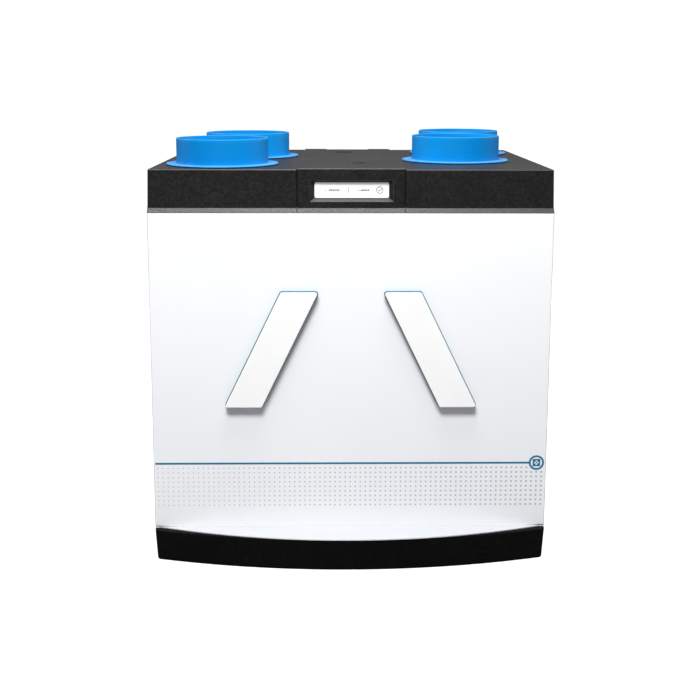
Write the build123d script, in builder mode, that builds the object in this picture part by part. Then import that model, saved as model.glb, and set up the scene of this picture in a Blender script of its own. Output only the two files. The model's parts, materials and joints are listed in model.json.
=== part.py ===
from build123d import *
import math
import os

# Heat recovery unit, millimetres, +Z up.
# Origin: centre of the footprint, on the surface that the unit stands on.
# The front faces -Y. Left and right are as seen from the front, left at -X.

os.makedirs("parts", exist_ok=True)

# ---------------------------------------------------------------- casing
TOP_HALF = 380.0            # half width of the top blocks at their upper edge
PANEL_HALF = 382.0          # half width of the front panel
BODY_DEPTH = 573.0          # top blocks, front to back
LIP_REACH = 68.0            # how far the lip stands in front of the top blocks
BODY_HEIGHT = 766.0         # up to the top of the side blocks
FRONT = LIP_REACH - (BODY_DEPTH + LIP_REACH) / 2
BACK = FRONT + BODY_DEPTH
CASE_TOP = BODY_HEIGHT - 82.0       # where the casing ends and the top blocks begin
STRIP_TOP = CASE_TOP + 9.0          # top of the sloping strip above the front panel
BASE_TOP = 62.6                     # top face of the base tray
SHEET = 1.5                         # sheet steel of the casing
PANEL_PROUD = 6.0                   # front panel in front of the top blocks
PANEL_FACE = FRONT - PANEL_PROUD
PANEL_FOOT = BASE_TOP + 4.4         # lower edge of the upright panel at its two ends
LIP_BOTTOM = BASE_TOP + 0.2
LIP_THICK = 2.4
LIP_RADIUS = 1150.0                 # plan radius of the lip's front edge
RELIEF_LENGTH = 42.0                # bend relief between panel and lip at each end
RETURN_DEPTH = 20.0                 # side flanges of the front panel
FOAM_HALF = 379.8                   # half width of the foam inner body
COVER_FRONT = PANEL_FACE + 3.6      # foam front cover, front face
INNER_FRONT = FRONT + 25.5          # front end of the inner space
INNER_BACK = BACK - 19.5            # rear end of the inner space
TURN_Y = (INNER_FRONT + INNER_BACK) / 2     # the inner layout repeats turned by 180 degrees about this line

# ---------------------------------------------------------------- base tray
BASE_HALF = 381.0
BASE_FRONT = FRONT - 66.5           # front of the base at its middle, top edge
BASE_RADIUS = 1450.0
BASE_DRAFT = 3.0
PAN_HALF = 146.0                    # condensate pan
PAN_FRONT = -218.0
PAN_BACK = 292.0
PAN_FLOOR = 44.0
PAN_TOP = 78.0
PAN_WALL = 2.5
DRAIN_X = 100.0
DRAIN_Y = 258.0
DRAIN_R = 16.0                      # outside of the 32 mm drain spigot
DRAIN_FOOT = 8.0                    # open lower end of the spigot
DRAIN_THREAD_R = 17.0               # threaded shank that passes through the pan
DRAIN_NUT = 7.0                     # height of the nut under the pan
DRAIN_SLOT_HALF = 35.0

# ---------------------------------------------------------------- filters and handles
HANDLE_TOP_Z = BODY_HEIGHT - 230.0
HANDLE_FOOT_Z = BODY_HEIGHT - 455.0
HANDLE_TOP_X = 97.0                 # middle of the handle at its upper end
HANDLE_FOOT_X = 206.0               # and at its lower end
LEAN = (HANDLE_FOOT_X - HANDLE_TOP_X) / (HANDLE_TOP_Z - HANDLE_FOOT_Z)
HANDLE_HALF = 37.2                  # half width of the blue rim, measured level
CAP_INSET = 1.7                     # the white cap is this much narrower on each side
RIM_BACK = PANEL_FACE - 0.3
RIM_DEPTH = 11.2
CAP_THICK = 3.8
CASSETTE_HALF = 28.0
CASSETTE_FOOT = HANDLE_FOOT_Z + 5.0
CASSETTE_TOP = HANDLE_TOP_Z - 5.0
CASSETTE_BACK = TURN_Y + 188.0
SLOT_GAP = 3.0
PLEATS = 20
PLEAT_REACH = 20.0                  # fold lines, either side of the cassette's middle
PLEAT_SHEET = 3.2                   # half thickness of the medium, measured level

# ---------------------------------------------------------------- heat exchanger (hexagon in front view)
HEX_HALF = 158.0
HEX_TOP = 555.0
HEX_SHOULDER = 340.0
HEX_KNEE = 297.0
HEX_FOOT = 82.0
HEX_FLAT = 53.8                     # half width of the top and bottom flats
HEX_FRONT = INNER_FRONT + 5.0
HEX_BACK = TURN_Y + 193.0
PLATE_PITCH = 8.0
PLATE_THICK = 1.0
END_PLATE = 4.0
SEAL = 2.0
SHELF_TOP = HANDLE_FOOT_Z + 3.0
SHELF_BOTTOM = SHELF_TOP - 25.0
CEILING = HANDLE_TOP_Z - 3.0

# ---------------------------------------------------------------- fans
FAN_U = 238.0                       # from the middle of the unit to the fan's axis
FAN_Z = 186.0
FAN_INLET_V = 112.5                 # depth from the turning line to the inlet plate
FAN_MOTOR_V = 222.5                 # and to the motor plate
SCROLL_R = 78.0
SCROLL_STEP = 8.0
SCROLL_OUTER_U = FAN_U + SCROLL_R + 2.5 * SCROLL_STEP
SCROLL_TOP = SHELF_BOTTOM - SEAL
SCROLL_WALL = 2.5
OUTLET_INNER_U = 258.0
IMPELLER_R = 68.0
BLADES = 9
BLADE_MIDDLE_R = 53.0
BLADE_CHORD = 32.0
BLADE_THICK = 1.8
ROTOR_R = 36.0
STATOR_R = 30.0
SHAFT_R = 4.0
RUNNING_GAP = 0.05
WALL_U = 353.0                      # inner face of a side core's outer wall
RISER_INNER_U = 262.0
RISER_WALL = 12.0
RISER_V0 = 75.0
RISER_V1 = 259.0

# ---------------------------------------------------------------- duct collars
COLLAR_R = 90.0                     # 180 mm duct size
COLLAR_WALL = 3.0
COLLAR_RISE = 52.5
COLLAR_SINK = 39.5
FLANGE_R = 110.0
GASKET = 1.0
FLANGE_THICK = 2.2
OUTER_DUCT = (252.6, 167.5)         # distance out from the middle, and depth from the turning line
INNER_DUCT = (220.2, -60.5)

# ---------------------------------------------------------------- control cover and electronics
SEAM = 101.5                        # half width of the centre block
COVER_RISE = 2.0
COVER_TOP = BODY_HEIGHT + COVER_RISE
DISPLAY_X = 1.0
DISPLAY_Z = BODY_HEIGHT - 39.7
WINDOW_WIDTH = 140.0
WINDOW_HEIGHT = 29.0
WINDOW_THICK = 2.6
RECESS_DEPTH = 8.0
RECESS_FLOOR = FRONT + RECESS_DEPTH
WINDOW_FACE = RECESS_FLOOR - 0.5
BUTTON_X = 53.7
BUTTON_Z = BODY_HEIGHT - 39.4
BUTTON_R = 6.5
BUTTON_TRAVEL = 0.8
CAVITY_HALF = 84.0
CAVITY_TOP = 742.0
LARGE_GROMMET = (-10.0, 204.0, 19.0)
SMALL_GROMMET = (18.0, -115.0, 12.0)

# ---------------------------------------------------------------- summer bypass
BYPASS_HIGH = (-66.0, 401.5)        # flap shaft in front view
BYPASS_TILT = 38.5                  # the closed flap's angle
FLAP_WIDTH = 97.0
FLAP_THICK = 3.0
FLAP_FRONT = TURN_Y + 226.0
FLAP_DEPTH = 31.0
FLAP_SHAFT_R = 3.0

# ---------------------------------------------------------------- wall fixing
POCKET_HALF = 290.0
POCKET_FOOT = 590.0
POCKET_TOP = 650.0
BRACKET_HALF = 270.0
BRACKET_SHEET = 2.0
BRACKET_HOLES = 450.0
BRACKET_HOLE_R = 4.0
BRACKET_HOLE_Z = 610.0

SIDES = {"left": -1, "right": 1}
DUCTS = {
    "front_left": (-1, OUTER_DUCT),
    "rear_left": (-1, INNER_DUCT),
    "front_right": (1, INNER_DUCT),
    "rear_right": (1, OUTER_DUCT),
}


def upright(y):
    """Vertical sketch plane at depth y, facing the front: sketch x is X and sketch y is Z."""
    return Plane.XZ.offset(-y)


def stretch(side, v0, v1):
    """Sketch plane and length of the stretch between two depths from the turning line."""
    rear = TURN_Y + max(side * v0, side * v1)
    return upright(rear), abs(v1 - v0)


def lean_x(z):
    """Middle of a filter, out from the unit's middle, at height z."""
    return HANDLE_TOP_X + (HANDLE_TOP_Z - z) * LEAN


def leaning(side, half, foot, top):
    """Corner points of a leaning parallelogram with level ends."""
    return [
        (side * (lean_x(foot) - half), foot),
        (side * (lean_x(foot) + half), foot),
        (side * (lean_x(top) + half), top),
        (side * (lean_x(top) - half), top),
    ]


def hexagon(inset=0.0):
    """Corner points of the heat exchanger's front view."""
    half = HEX_HALF - inset
    flat = HEX_FLAT - inset * 0.6
    return [
        (-flat, HEX_FOOT + inset),
        (flat, HEX_FOOT + inset),
        (half, HEX_KNEE),
        (half, HEX_SHOULDER),
        (flat, HEX_TOP - inset),
        (-flat, HEX_TOP - inset),
        (-half, HEX_SHOULDER),
        (-half, HEX_KNEE),
    ]


def duct_centre(side, duct):
    """Plan position of a duct collar."""
    out, depth = duct
    return side * out, TURN_Y + side * depth


def mirrored(side, points):
    """Points given as (distance out from the middle, height), for one side of the unit."""
    return [(side * u, z) for u, z in points]


def save(builder, name):
    """Label a finished piece and write it."""
    builder.part.label = name
    export_step(builder.part, f"parts/{name}.step")


# ================================================================ base and drain

with BuildPart() as base_tray:
    with BuildSketch(Plane.XY.offset(BASE_TOP)):
        with BuildLine():
            end_y = BASE_FRONT + BASE_RADIUS - math.sqrt(BASE_RADIUS**2 - BASE_HALF**2)
            bow = ThreePointArc((-BASE_HALF, end_y), (0, BASE_FRONT), (BASE_HALF, end_y))
            Polyline((BASE_HALF, end_y), (BASE_HALF, BACK), (-BASE_HALF, BACK), (-BASE_HALF, end_y))
        make_face()
    extrude(amount=-BASE_TOP, taper=BASE_DRAFT)
    upright_edges = [e for e in base_tray.edges() if abs(e.tangent_at(0.5).Z) > 0.9]
    fillet(upright_edges, 6)
    fillet(base_tray.faces().sort_by(Axis.Z)[0].edges(), 5)
    with Locations((0, (PAN_FRONT + PAN_BACK) / 2, (PAN_FLOOR + BASE_TOP) / 2)):
        Box(2 * PAN_HALF + 2, PAN_BACK - PAN_FRONT + 2, BASE_TOP - PAN_FLOOR, mode=Mode.SUBTRACT)
    slot_front = DRAIN_Y - DRAIN_SLOT_HALF
    with Locations((DRAIN_X, (slot_front + BACK) / 2, PAN_FLOOR / 2)):
        Box(2 * DRAIN_SLOT_HALF, BACK - slot_front, PAN_FLOOR, mode=Mode.SUBTRACT)
save(base_tray, "base_tray")

with BuildPart() as condensate_pan:
    with Locations((0, (PAN_FRONT + PAN_BACK) / 2, PAN_FLOOR)):
        Box(
            2 * PAN_HALF, PAN_BACK - PAN_FRONT, PAN_TOP - PAN_FLOOR,
            align=(Align.CENTER, Align.CENTER, Align.MIN),
        )
    offset(amount=-PAN_WALL, openings=condensate_pan.faces().sort_by(Axis.Z)[-1])
    rib_back = HEX_BACK - END_PLATE
    with Locations((0, (PAN_FRONT + rib_back) / 2, PAN_FLOOR)):
        Box(
            6, rib_back - PAN_FRONT, HEX_FOOT - SEAL - PAN_FLOOR,
            align=(Align.CENTER, Align.CENTER, Align.MIN),
        )
    with Locations((DRAIN_X, DRAIN_Y, PAN_FLOOR)):
        Cylinder(DRAIN_THREAD_R + 0.3, 3 * PAN_WALL, mode=Mode.SUBTRACT)
save(condensate_pan, "condensate_pan")

with BuildPart() as drain_spigot:
    shank_foot = PAN_FLOOR - DRAIN_NUT
    with BuildSketch(Plane.XY.offset(DRAIN_FOOT)):
        with Locations((DRAIN_X, DRAIN_Y)):
            Circle(DRAIN_R)
    extrude(amount=shank_foot - DRAIN_FOOT)
    with BuildSketch(Plane.XY.offset(shank_foot)):
        with Locations((DRAIN_X, DRAIN_Y)):
            Circle(DRAIN_THREAD_R)
    extrude(amount=DRAIN_NUT + PAN_WALL)
    with BuildSketch(Plane.XY.offset(PAN_FLOOR + PAN_WALL)):
        with Locations((DRAIN_X, DRAIN_Y)):
            Circle(DRAIN_THREAD_R + 6)
    extrude(amount=2.5)
    with BuildSketch(Plane.XY.offset(DRAIN_FOOT)):
        with Locations((DRAIN_X, DRAIN_Y)):
            Circle(DRAIN_R - 3)
    extrude(amount=PAN_TOP, mode=Mode.SUBTRACT)
save(drain_spigot, "drain_spigot")

with BuildPart() as drain_nut:
    with BuildSketch(Plane.XY.offset(PAN_FLOOR)):
        with Locations((DRAIN_X, DRAIN_Y)):
            RegularPolygon(DRAIN_THREAD_R + 8, 6)
            Circle(DRAIN_THREAD_R + 0.3, mode=Mode.SUBTRACT)
    extrude(amount=-DRAIN_NUT)
save(drain_nut, "drain_nut")

# ================================================================ sheet-steel casing

with BuildPart() as front_panel:
    with BuildSketch(upright(PANEL_FACE + SHEET)):
        with Locations((0, (LIP_BOTTOM + CASE_TOP) / 2)):
            Rectangle(2 * PANEL_HALF, CASE_TOP - LIP_BOTTOM)
    extrude(amount=SHEET)
    return_x = PANEL_HALF - SHEET / 2
    with Locations(*[(s * return_x, PANEL_FACE + RETURN_DEPTH / 2, (PANEL_FOOT + CASE_TOP) / 2) for s in (-1, 1)]):
        Box(SHEET, RETURN_DEPTH, CASE_TOP - PANEL_FOOT)
    with Locations((0, PANEL_FACE + RETURN_DEPTH / 4, CASE_TOP - SHEET / 2)):
        Box(2 * PANEL_HALF, RETURN_DEPTH / 2, SHEET)
    corner_edges = front_panel.edges().filter_by(Axis.Z).group_by(Axis.Y)[0]
    fillet(corner_edges, 1.2)
    lip_end = FRONT - LIP_REACH + LIP_RADIUS - math.sqrt(LIP_RADIUS**2 - PANEL_HALF**2)
    with BuildSketch(Plane.XY.offset(LIP_BOTTOM)):
        with BuildLine():
            ThreePointArc((-PANEL_HALF, lip_end), (0, FRONT - LIP_REACH), (PANEL_HALF, lip_end))
            Line((PANEL_HALF, lip_end), (-PANEL_HALF, lip_end))
        make_face()
    extrude(amount=LIP_THICK)
    for side in (-1, 1):
        with BuildSketch(upright(PANEL_FACE + 10)):
            Polygon(
                (side * (PANEL_HALF + 1), PANEL_FOOT),
                (side * (PANEL_HALF + 1), LIP_BOTTOM + LIP_THICK),
                (side * (PANEL_HALF - RELIEF_LENGTH), LIP_BOTTOM + LIP_THICK),
                align=None,
            )
        extrude(amount=20, mode=Mode.SUBTRACT)
        with BuildSketch(upright(PANEL_FACE + SHEET)):
            Polygon(
                *leaning(side, CASSETTE_HALF + SLOT_GAP, CASSETTE_FOOT - SLOT_GAP, CASSETTE_TOP + SLOT_GAP),
                align=None,
            )
        extrude(amount=SHEET, mode=Mode.SUBTRACT)
save(front_panel, "front_panel")

for side_name, side in SIDES.items():
    with BuildPart() as side_panel:
        panel_front = PANEL_FACE + RETURN_DEPTH + 1
        panel_back = BACK - SHEET
        with Locations((side * (TOP_HALF + SHEET / 2), (panel_front + panel_back) / 2, (BASE_TOP + CASE_TOP) / 2)):
            Box(SHEET, panel_back - panel_front, CASE_TOP - BASE_TOP)
    save(side_panel, f"side_panel_{side_name}")

screw_spots = [(s * 360, z) for s in (-1, 1) for z in (95, 280, 470, 665)]

with BuildPart() as back_panel:
    with BuildSketch(upright(BACK - SHEET)):
        with Locations((0, (BASE_TOP + CASE_TOP) / 2)):
            Rectangle(2 * FOAM_HALF, CASE_TOP - BASE_TOP)
        with Locations((0, (POCKET_FOOT + POCKET_TOP) / 2)):
            Rectangle(2 * POCKET_HALF, POCKET_TOP - POCKET_FOOT, mode=Mode.SUBTRACT)
        with Locations(*screw_spots):
            Circle(2.3, mode=Mode.SUBTRACT)
    extrude(amount=1.2)
save(back_panel, "back_panel")

with BuildPart() as casing_screws:
    with BuildSketch(upright(BACK)):
        with Locations(*screw_spots):
            Circle(4.5)
    extrude(amount=SHEET)
    with BuildSketch(upright(BACK)):
        with Locations(*screw_spots):
            RegularPolygon(1.8, 6)
    extrude(amount=0.8, mode=Mode.SUBTRACT)
    with BuildSketch(upright(BACK - SHEET)):
        with Locations(*screw_spots):
            Circle(2)
    extrude(amount=10)
save(casing_screws, "casing_screws")

hook = BRACKET_SHEET
with BuildPart() as wall_bracket:
    with BuildSketch(Plane.YZ.offset(-BRACKET_HALF)):
        Polygon(
            (BACK, POCKET_FOOT + 4),
            (BACK, 630),
            (BACK - 6.5, 630),
            (BACK - 6.5, 640),
            (BACK - 6.5 - hook, 640),
            (BACK - 6.5 - hook, 630 - hook),
            (BACK - hook, 630 - hook),
            (BACK - hook, POCKET_FOOT + 4),
            align=None,
        )
    extrude(amount=2 * BRACKET_HALF)
    with BuildSketch(upright(BACK)):
        with Locations((-BRACKET_HOLES / 2, BRACKET_HOLE_Z), (BRACKET_HOLES / 2, BRACKET_HOLE_Z)):
            Circle(BRACKET_HOLE_R)
    extrude(amount=hook, mode=Mode.SUBTRACT)
save(wall_bracket, "wall_bracket")

with BuildPart() as hanger_rail:
    with BuildSketch(Plane.YZ.offset(-POCKET_HALF + 5)):
        Polygon(
            (BACK - 13.5, 600),
            (BACK - 13.5, 648),
            (BACK - 2.5, 648),
            (BACK - 2.5, 630),
            (BACK - 2.5 - hook, 630),
            (BACK - 2.5 - hook, 648 - hook),
            (BACK - 13.5 + hook, 648 - hook),
            (BACK - 13.5 + hook, 600),
            align=None,
        )
    extrude(amount=2 * (POCKET_HALF - 5))
save(hanger_rail, "hanger_rail")

# ================================================================ foam inner body

with BuildPart() as foam_front_cover:
    with BuildSketch(upright(INNER_FRONT)):
        with Locations((0, (BASE_TOP + CASE_TOP - SHEET) / 2)):
            Rectangle(2 * FOAM_HALF, CASE_TOP - SHEET - BASE_TOP)
        for side in (-1, 1):
            Polygon(
                *leaning(side, CASSETTE_HALF + SLOT_GAP, CASSETTE_FOOT - SLOT_GAP, CASSETTE_TOP + SLOT_GAP),
                align=None,
                mode=Mode.SUBTRACT,
            )
    extrude(amount=INNER_FRONT - COVER_FRONT)
save(foam_front_cover, "foam_front_cover")

with BuildPart() as foam_back_wall:
    wall_back = BACK - SHEET - 1.2
    with BuildSketch(upright(wall_back)):
        with Locations((0, (BASE_TOP + CASE_TOP) / 2)):
            Rectangle(2 * FOAM_HALF, CASE_TOP - BASE_TOP)
    extrude(amount=wall_back - INNER_BACK)
    with BuildSketch(upright(wall_back)):
        with Locations((0, (POCKET_FOOT + POCKET_TOP) / 2)):
            Rectangle(2 * POCKET_HALF, POCKET_TOP - POCKET_FOOT)
    extrude(amount=wall_back - (BACK - 13.5), mode=Mode.SUBTRACT)
    with BuildSketch(upright(wall_back)):
        with Locations(*screw_spots):
            Circle(2.1)
    extrude(amount=9.5, mode=Mode.SUBTRACT)
save(foam_back_wall, "foam_back_wall")

INNER_V = (INNER_BACK - INNER_FRONT) / 2

for side_name, side in SIDES.items():
    with BuildPart() as side_core:
        plane, length = stretch(side, -INNER_V, INNER_V)
        with BuildSketch(plane):
            Polygon(
                *mirrored(side, [
                    (FOAM_HALF, BASE_TOP),
                    (FOAM_HALF, CASE_TOP),
                    (WALL_U, CASE_TOP),
                    (WALL_U, SHELF_TOP),
                    (246, SHELF_TOP),
                    (246, SHELF_TOP + 12),
                    (236, SHELF_TOP + 12),
                    (236, SHELF_TOP),
                    (HEX_HALF + SEAL, SHELF_TOP),
                    (HEX_HALF + SEAL, SHELF_BOTTOM),
                    (WALL_U, SHELF_BOTTOM),
                    (WALL_U, BASE_TOP),
                ]),
                align=None,
            )
        extrude(amount=length)
        plane, length = stretch(side, RISER_V0 - RISER_WALL, INNER_V)
        with BuildSketch(plane):
            Polygon(
                *mirrored(side, [
                    (WALL_U, SHELF_TOP),
                    (RISER_INNER_U - RISER_WALL, SHELF_TOP),
                    (RISER_INNER_U - RISER_WALL, 600),
                    (146, 658),
                    (146, CASE_TOP),
                    (WALL_U, CASE_TOP),
                ]),
                align=None,
            )
        extrude(amount=length)
        plane, length = stretch(side, RISER_V0, RISER_V1)
        with BuildSketch(plane):
            Polygon(
                *mirrored(side, [
                    (WALL_U, SHELF_BOTTOM),
                    (RISER_INNER_U, SHELF_BOTTOM),
                    (RISER_INNER_U, 607),
                    (158, 665),
                    (158, CASE_TOP),
                    (WALL_U, CASE_TOP),
                ]),
                align=None,
            )
        extrude(amount=length, mode=Mode.SUBTRACT)
    save(side_core, f"foam_core_{side_name}")

with BuildPart() as centre_core:
    half_section = [
        (57, HEX_TOP + SEAL),
        (67, CEILING),
        (137, CEILING),
        (137, CEILING - 13),
        (147, CEILING - 13),
        (147, CEILING + 8),
        (128, CEILING + 27),
        (128, CASE_TOP),
    ]
    with BuildSketch(upright(INNER_BACK)):
        Polygon(*half_section, *mirrored(-1, half_section[::-1]), align=None)
    extrude(amount=INNER_BACK - INNER_FRONT)
save(centre_core, "foam_core_centre")

# ================================================================ heat exchanger

plate_count = int((HEX_BACK - HEX_FRONT - 2 * END_PLATE) // PLATE_PITCH)
plate_planes = [upright(HEX_FRONT + END_PLATE + (i + 1) * PLATE_PITCH) for i in range(plate_count)]

with BuildPart() as exchanger_plates:
    with BuildSketch(*plate_planes):
        Polygon(*hexagon(inset=1.0), align=None)
    extrude(amount=PLATE_THICK)
save(exchanger_plates, "exchanger_plates")

with BuildPart() as exchanger_end_plates:
    with BuildSketch(upright(HEX_FRONT + END_PLATE), upright(HEX_BACK)):
        Polygon(*hexagon(), align=None)
    extrude(amount=END_PLATE)
save(exchanger_end_plates, "exchanger_end_plates")

with BuildPart() as exchanger_seals:
    with BuildSketch(upright(HEX_BACK)):
        with Locations((-HEX_HALF - SEAL / 2, 318.5), (HEX_HALF + SEAL / 2, 318.5)):
            Rectangle(SEAL, 36)
        with Locations((0, HEX_TOP + SEAL / 2)):
            Rectangle(90, SEAL)
        with Locations((0, HEX_FOOT - SEAL / 2)):
            Rectangle(16, SEAL)
    extrude(amount=HEX_BACK - HEX_FRONT)
save(exchanger_seals, "exchanger_seals")

# ================================================================ filter cassettes with their handles

for side_name, side in SIDES.items():
    with BuildPart() as filter_frame:
        with BuildSketch(upright(CASSETTE_BACK)):
            Polygon(*leaning(side, CASSETTE_HALF, CASSETTE_FOOT, CASSETTE_TOP), align=None)
        extrude(amount=CASSETTE_BACK - RIM_BACK)
        with BuildSketch(upright(CASSETTE_BACK - 5)):
            Polygon(*leaning(side, 2 * CASSETTE_HALF, CASSETTE_FOOT + 5, CASSETTE_TOP - 5), align=None)
        extrude(amount=CASSETTE_BACK - 5 - INNER_FRONT, mode=Mode.SUBTRACT)
    save(filter_frame, f"filter_frame_{side_name}")

    with BuildPart() as filter_media:
        low = CASSETTE_FOOT + 6.5
        pleat = (CASSETTE_TOP - 6.5 - low) / PLEATS
        folds = []
        for i in range(PLEATS + 1):
            z = low + i * pleat
            folds.append((lean_x(z) + (PLEAT_REACH if i % 2 else -PLEAT_REACH), z))
        lower_side = [(u + PLEAT_SHEET, z) for u, z in folds]
        upper_side = [(u - PLEAT_SHEET, z) for u, z in folds]
        with BuildSketch(upright(CASSETTE_BACK - 5.5)):
            Polygon(*mirrored(side, lower_side + upper_side[::-1]), align=None)
        extrude(amount=CASSETTE_BACK - 5.5 - INNER_FRONT - 0.5)
    save(filter_media, f"filter_media_{side_name}")

    with BuildPart() as filter_rim:
        with BuildSketch(upright(RIM_BACK)):
            Polygon(*leaning(side, HANDLE_HALF, HANDLE_FOOT_Z, HANDLE_TOP_Z), align=None)
        extrude(amount=RIM_DEPTH)
        fillet(filter_rim.edges().filter_by(Axis.Y), 5)
        chamfer(filter_rim.faces().sort_by(Axis.Y)[0].edges(), 0.6)
    save(filter_rim, f"filter_rim_{side_name}")

    with BuildPart() as filter_handle:
        with BuildSketch(upright(RIM_BACK - RIM_DEPTH)):
            Polygon(
                *leaning(side, HANDLE_HALF - CAP_INSET, HANDLE_FOOT_Z + 0.3, HANDLE_TOP_Z - 0.9),
                align=None,
            )
        extrude(amount=CAP_THICK)
        fillet(filter_handle.edges().filter_by(Axis.Y), 4)
        fillet(filter_handle.faces().sort_by(Axis.Y)[0].edges(), 1.2)
    save(filter_handle, f"filter_handle_{side_name}")

# ================================================================ fans


def scroll_outline(side, wall=0.0):
    """Closed spiral of three quarter arcs, its outlet going straight up, moved inwards by a wall."""
    inner_c = (FAN_U - SCROLL_STEP / 2, FAN_Z - SCROLL_STEP / 2)
    lower_c = (FAN_U + SCROLL_STEP / 2, FAN_Z - SCROLL_STEP / 2)
    outer_c = (FAN_U + SCROLL_STEP / 2, FAN_Z + SCROLL_STEP / 2)
    half = math.sqrt(0.5)
    arcs = (
        (inner_c, SCROLL_R, (0, 1), (-half, half), (-1, 0)),
        (lower_c, SCROLL_R + SCROLL_STEP, (-1, 0), (-half, -half), (0, -1)),
        (outer_c, SCROLL_R + 2 * SCROLL_STEP, (0, -1), (half, -half), (1, 0)),
    )
    for centre, radius, *directions in arcs:
        reach = radius - wall
        points = [(centre[0] + reach * du, centre[1] + reach * dz) for du, dz in directions]
        ThreePointArc(*mirrored(side, points))
    start_z = inner_c[1] + SCROLL_R - wall
    Polyline(*mirrored(side, [
        (SCROLL_OUTER_U - wall, outer_c[1]),
        (SCROLL_OUTER_U - wall, SCROLL_TOP + wall),
        (OUTLET_INNER_U + wall, SCROLL_TOP + wall),
        (OUTLET_INNER_U + wall, start_z),
        (inner_c[0], start_z),
    ]))


def fan_slab(side, v0, v1, radius, hole=0.0, mode=Mode.ADD):
    """Disc or ring about a fan's axis between two depths from the turning line."""
    slab_plane, slab_length = stretch(side, v0, v1)
    with BuildSketch(slab_plane) as ring:
        with Locations((side * FAN_U, FAN_Z)):
            Circle(radius)
            if hole:
                Circle(hole, mode=Mode.SUBTRACT)
    extrude(ring.sketch, amount=slab_length, mode=mode)


MOTOR_PCD_R = 38.0

for side_name, side in SIDES.items():
    with BuildPart() as fan_scroll:
        plane, length = stretch(side, FAN_INLET_V, FAN_MOTOR_V)
        with BuildSketch(plane):
            with BuildLine():
                scroll_outline(side)
            make_face()
        extrude(amount=length)
        plane, length = stretch(side, FAN_INLET_V + SCROLL_WALL, FAN_MOTOR_V - SCROLL_WALL)
        with BuildSketch(plane):
            with BuildLine():
                scroll_outline(side, wall=SCROLL_WALL)
            make_face()
        extrude(amount=length, mode=Mode.SUBTRACT)
        fan_slab(side, FAN_INLET_V, FAN_INLET_V + SCROLL_WALL, 58, mode=Mode.SUBTRACT)
        fan_slab(side, FAN_MOTOR_V - SCROLL_WALL, FAN_MOTOR_V, 28, mode=Mode.SUBTRACT)
        plane, length = stretch(side, FAN_MOTOR_V - SCROLL_WALL, FAN_MOTOR_V)
        with BuildSketch(plane):
            with Locations((side * FAN_U, FAN_Z)):
                with PolarLocations(MOTOR_PCD_R, 4, start_angle=45):
                    Circle(2.2)
        extrude(amount=length, mode=Mode.SUBTRACT)
    save(fan_scroll, f"fan_scroll_{side_name}")

    with BuildPart() as fan_impeller:
        fan_slab(side, 212, 214.5, IMPELLER_R, hole=ROTOR_R - 3)
        fan_slab(side, 138, 140.5, IMPELLER_R, hole=53)
        fan_slab(side, 180, 214.5, ROTOR_R, hole=ROTOR_R - 3)
        fan_slab(side, 180, 183, ROTOR_R)
        fan_slab(side, 180, 224, SHAFT_R)
        plane, length = stretch(side, 139, 213)
        with BuildSketch(plane):
            with Locations((side * FAN_U, FAN_Z)):
                with PolarLocations(BLADE_MIDDLE_R, BLADES):
                    Rectangle(BLADE_CHORD, BLADE_THICK, rotation=-40 * side)
        extrude(amount=length)
    save(fan_impeller, f"fan_impeller_{side_name}")

    with BuildPart() as fan_motor:
        fan_slab(side, 186, 210, STATOR_R)
        fan_slab(side, 210, FAN_MOTOR_V, 24)
        fan_slab(side, FAN_MOTOR_V, FAN_MOTOR_V + 4, 46)
        fan_slab(side, 180, FAN_MOTOR_V + 4, SHAFT_R + RUNNING_GAP, mode=Mode.SUBTRACT)
        plane, length = stretch(side, FAN_MOTOR_V, FAN_MOTOR_V + 4)
        with BuildSketch(plane):
            with Locations((side * FAN_U, FAN_Z)):
                with PolarLocations(MOTOR_PCD_R, 4, start_angle=45):
                    Circle(2.2)
        extrude(amount=length, mode=Mode.SUBTRACT)
    save(fan_motor, f"fan_motor_{side_name}")

    with BuildPart() as fan_inlet_ring:
        fan_slab(side, FAN_INLET_V - 3, FAN_INLET_V, 66, hole=49)
        fan_slab(side, FAN_INLET_V - 3, 134, 51.5, hole=49)
    save(fan_inlet_ring, f"fan_inlet_ring_{side_name}")

with BuildPart() as fan_gaskets:
    for side in (-1, 1):
        with BuildSketch(Plane.XY.offset(SCROLL_TOP)):
            middle_u = (SCROLL_OUTER_U + OUTLET_INNER_U) / 2
            middle_v = (FAN_INLET_V + FAN_MOTOR_V) / 2
            with Locations((side * middle_u, TURN_Y + side * middle_v)):
                width = SCROLL_OUTER_U - OUTLET_INNER_U
                depth = FAN_MOTOR_V - FAN_INLET_V
                Rectangle(width, depth)
                Rectangle(width - 14, depth - 14, mode=Mode.SUBTRACT)
        extrude(amount=SEAL)
save(fan_gaskets, "fan_gaskets")

with BuildPart() as fan_screws:
    for side in (-1, 1):
        for radius, v0, v1 in ((2.0, FAN_MOTOR_V - 5, FAN_MOTOR_V + 4), (4.0, FAN_MOTOR_V + 4, FAN_MOTOR_V + 6.5)):
            plane, length = stretch(side, v0, v1)
            with BuildSketch(plane):
                with Locations((side * FAN_U, FAN_Z)):
                    with PolarLocations(MOTOR_PCD_R, 4, start_angle=45):
                        Circle(radius)
            extrude(amount=length)
save(fan_screws, "fan_screws")

# ================================================================ summer bypass

HOUSING_FRONT = HEX_BACK + 2.0
MOTOR_SIZE = (54.0, 42.0)

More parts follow.
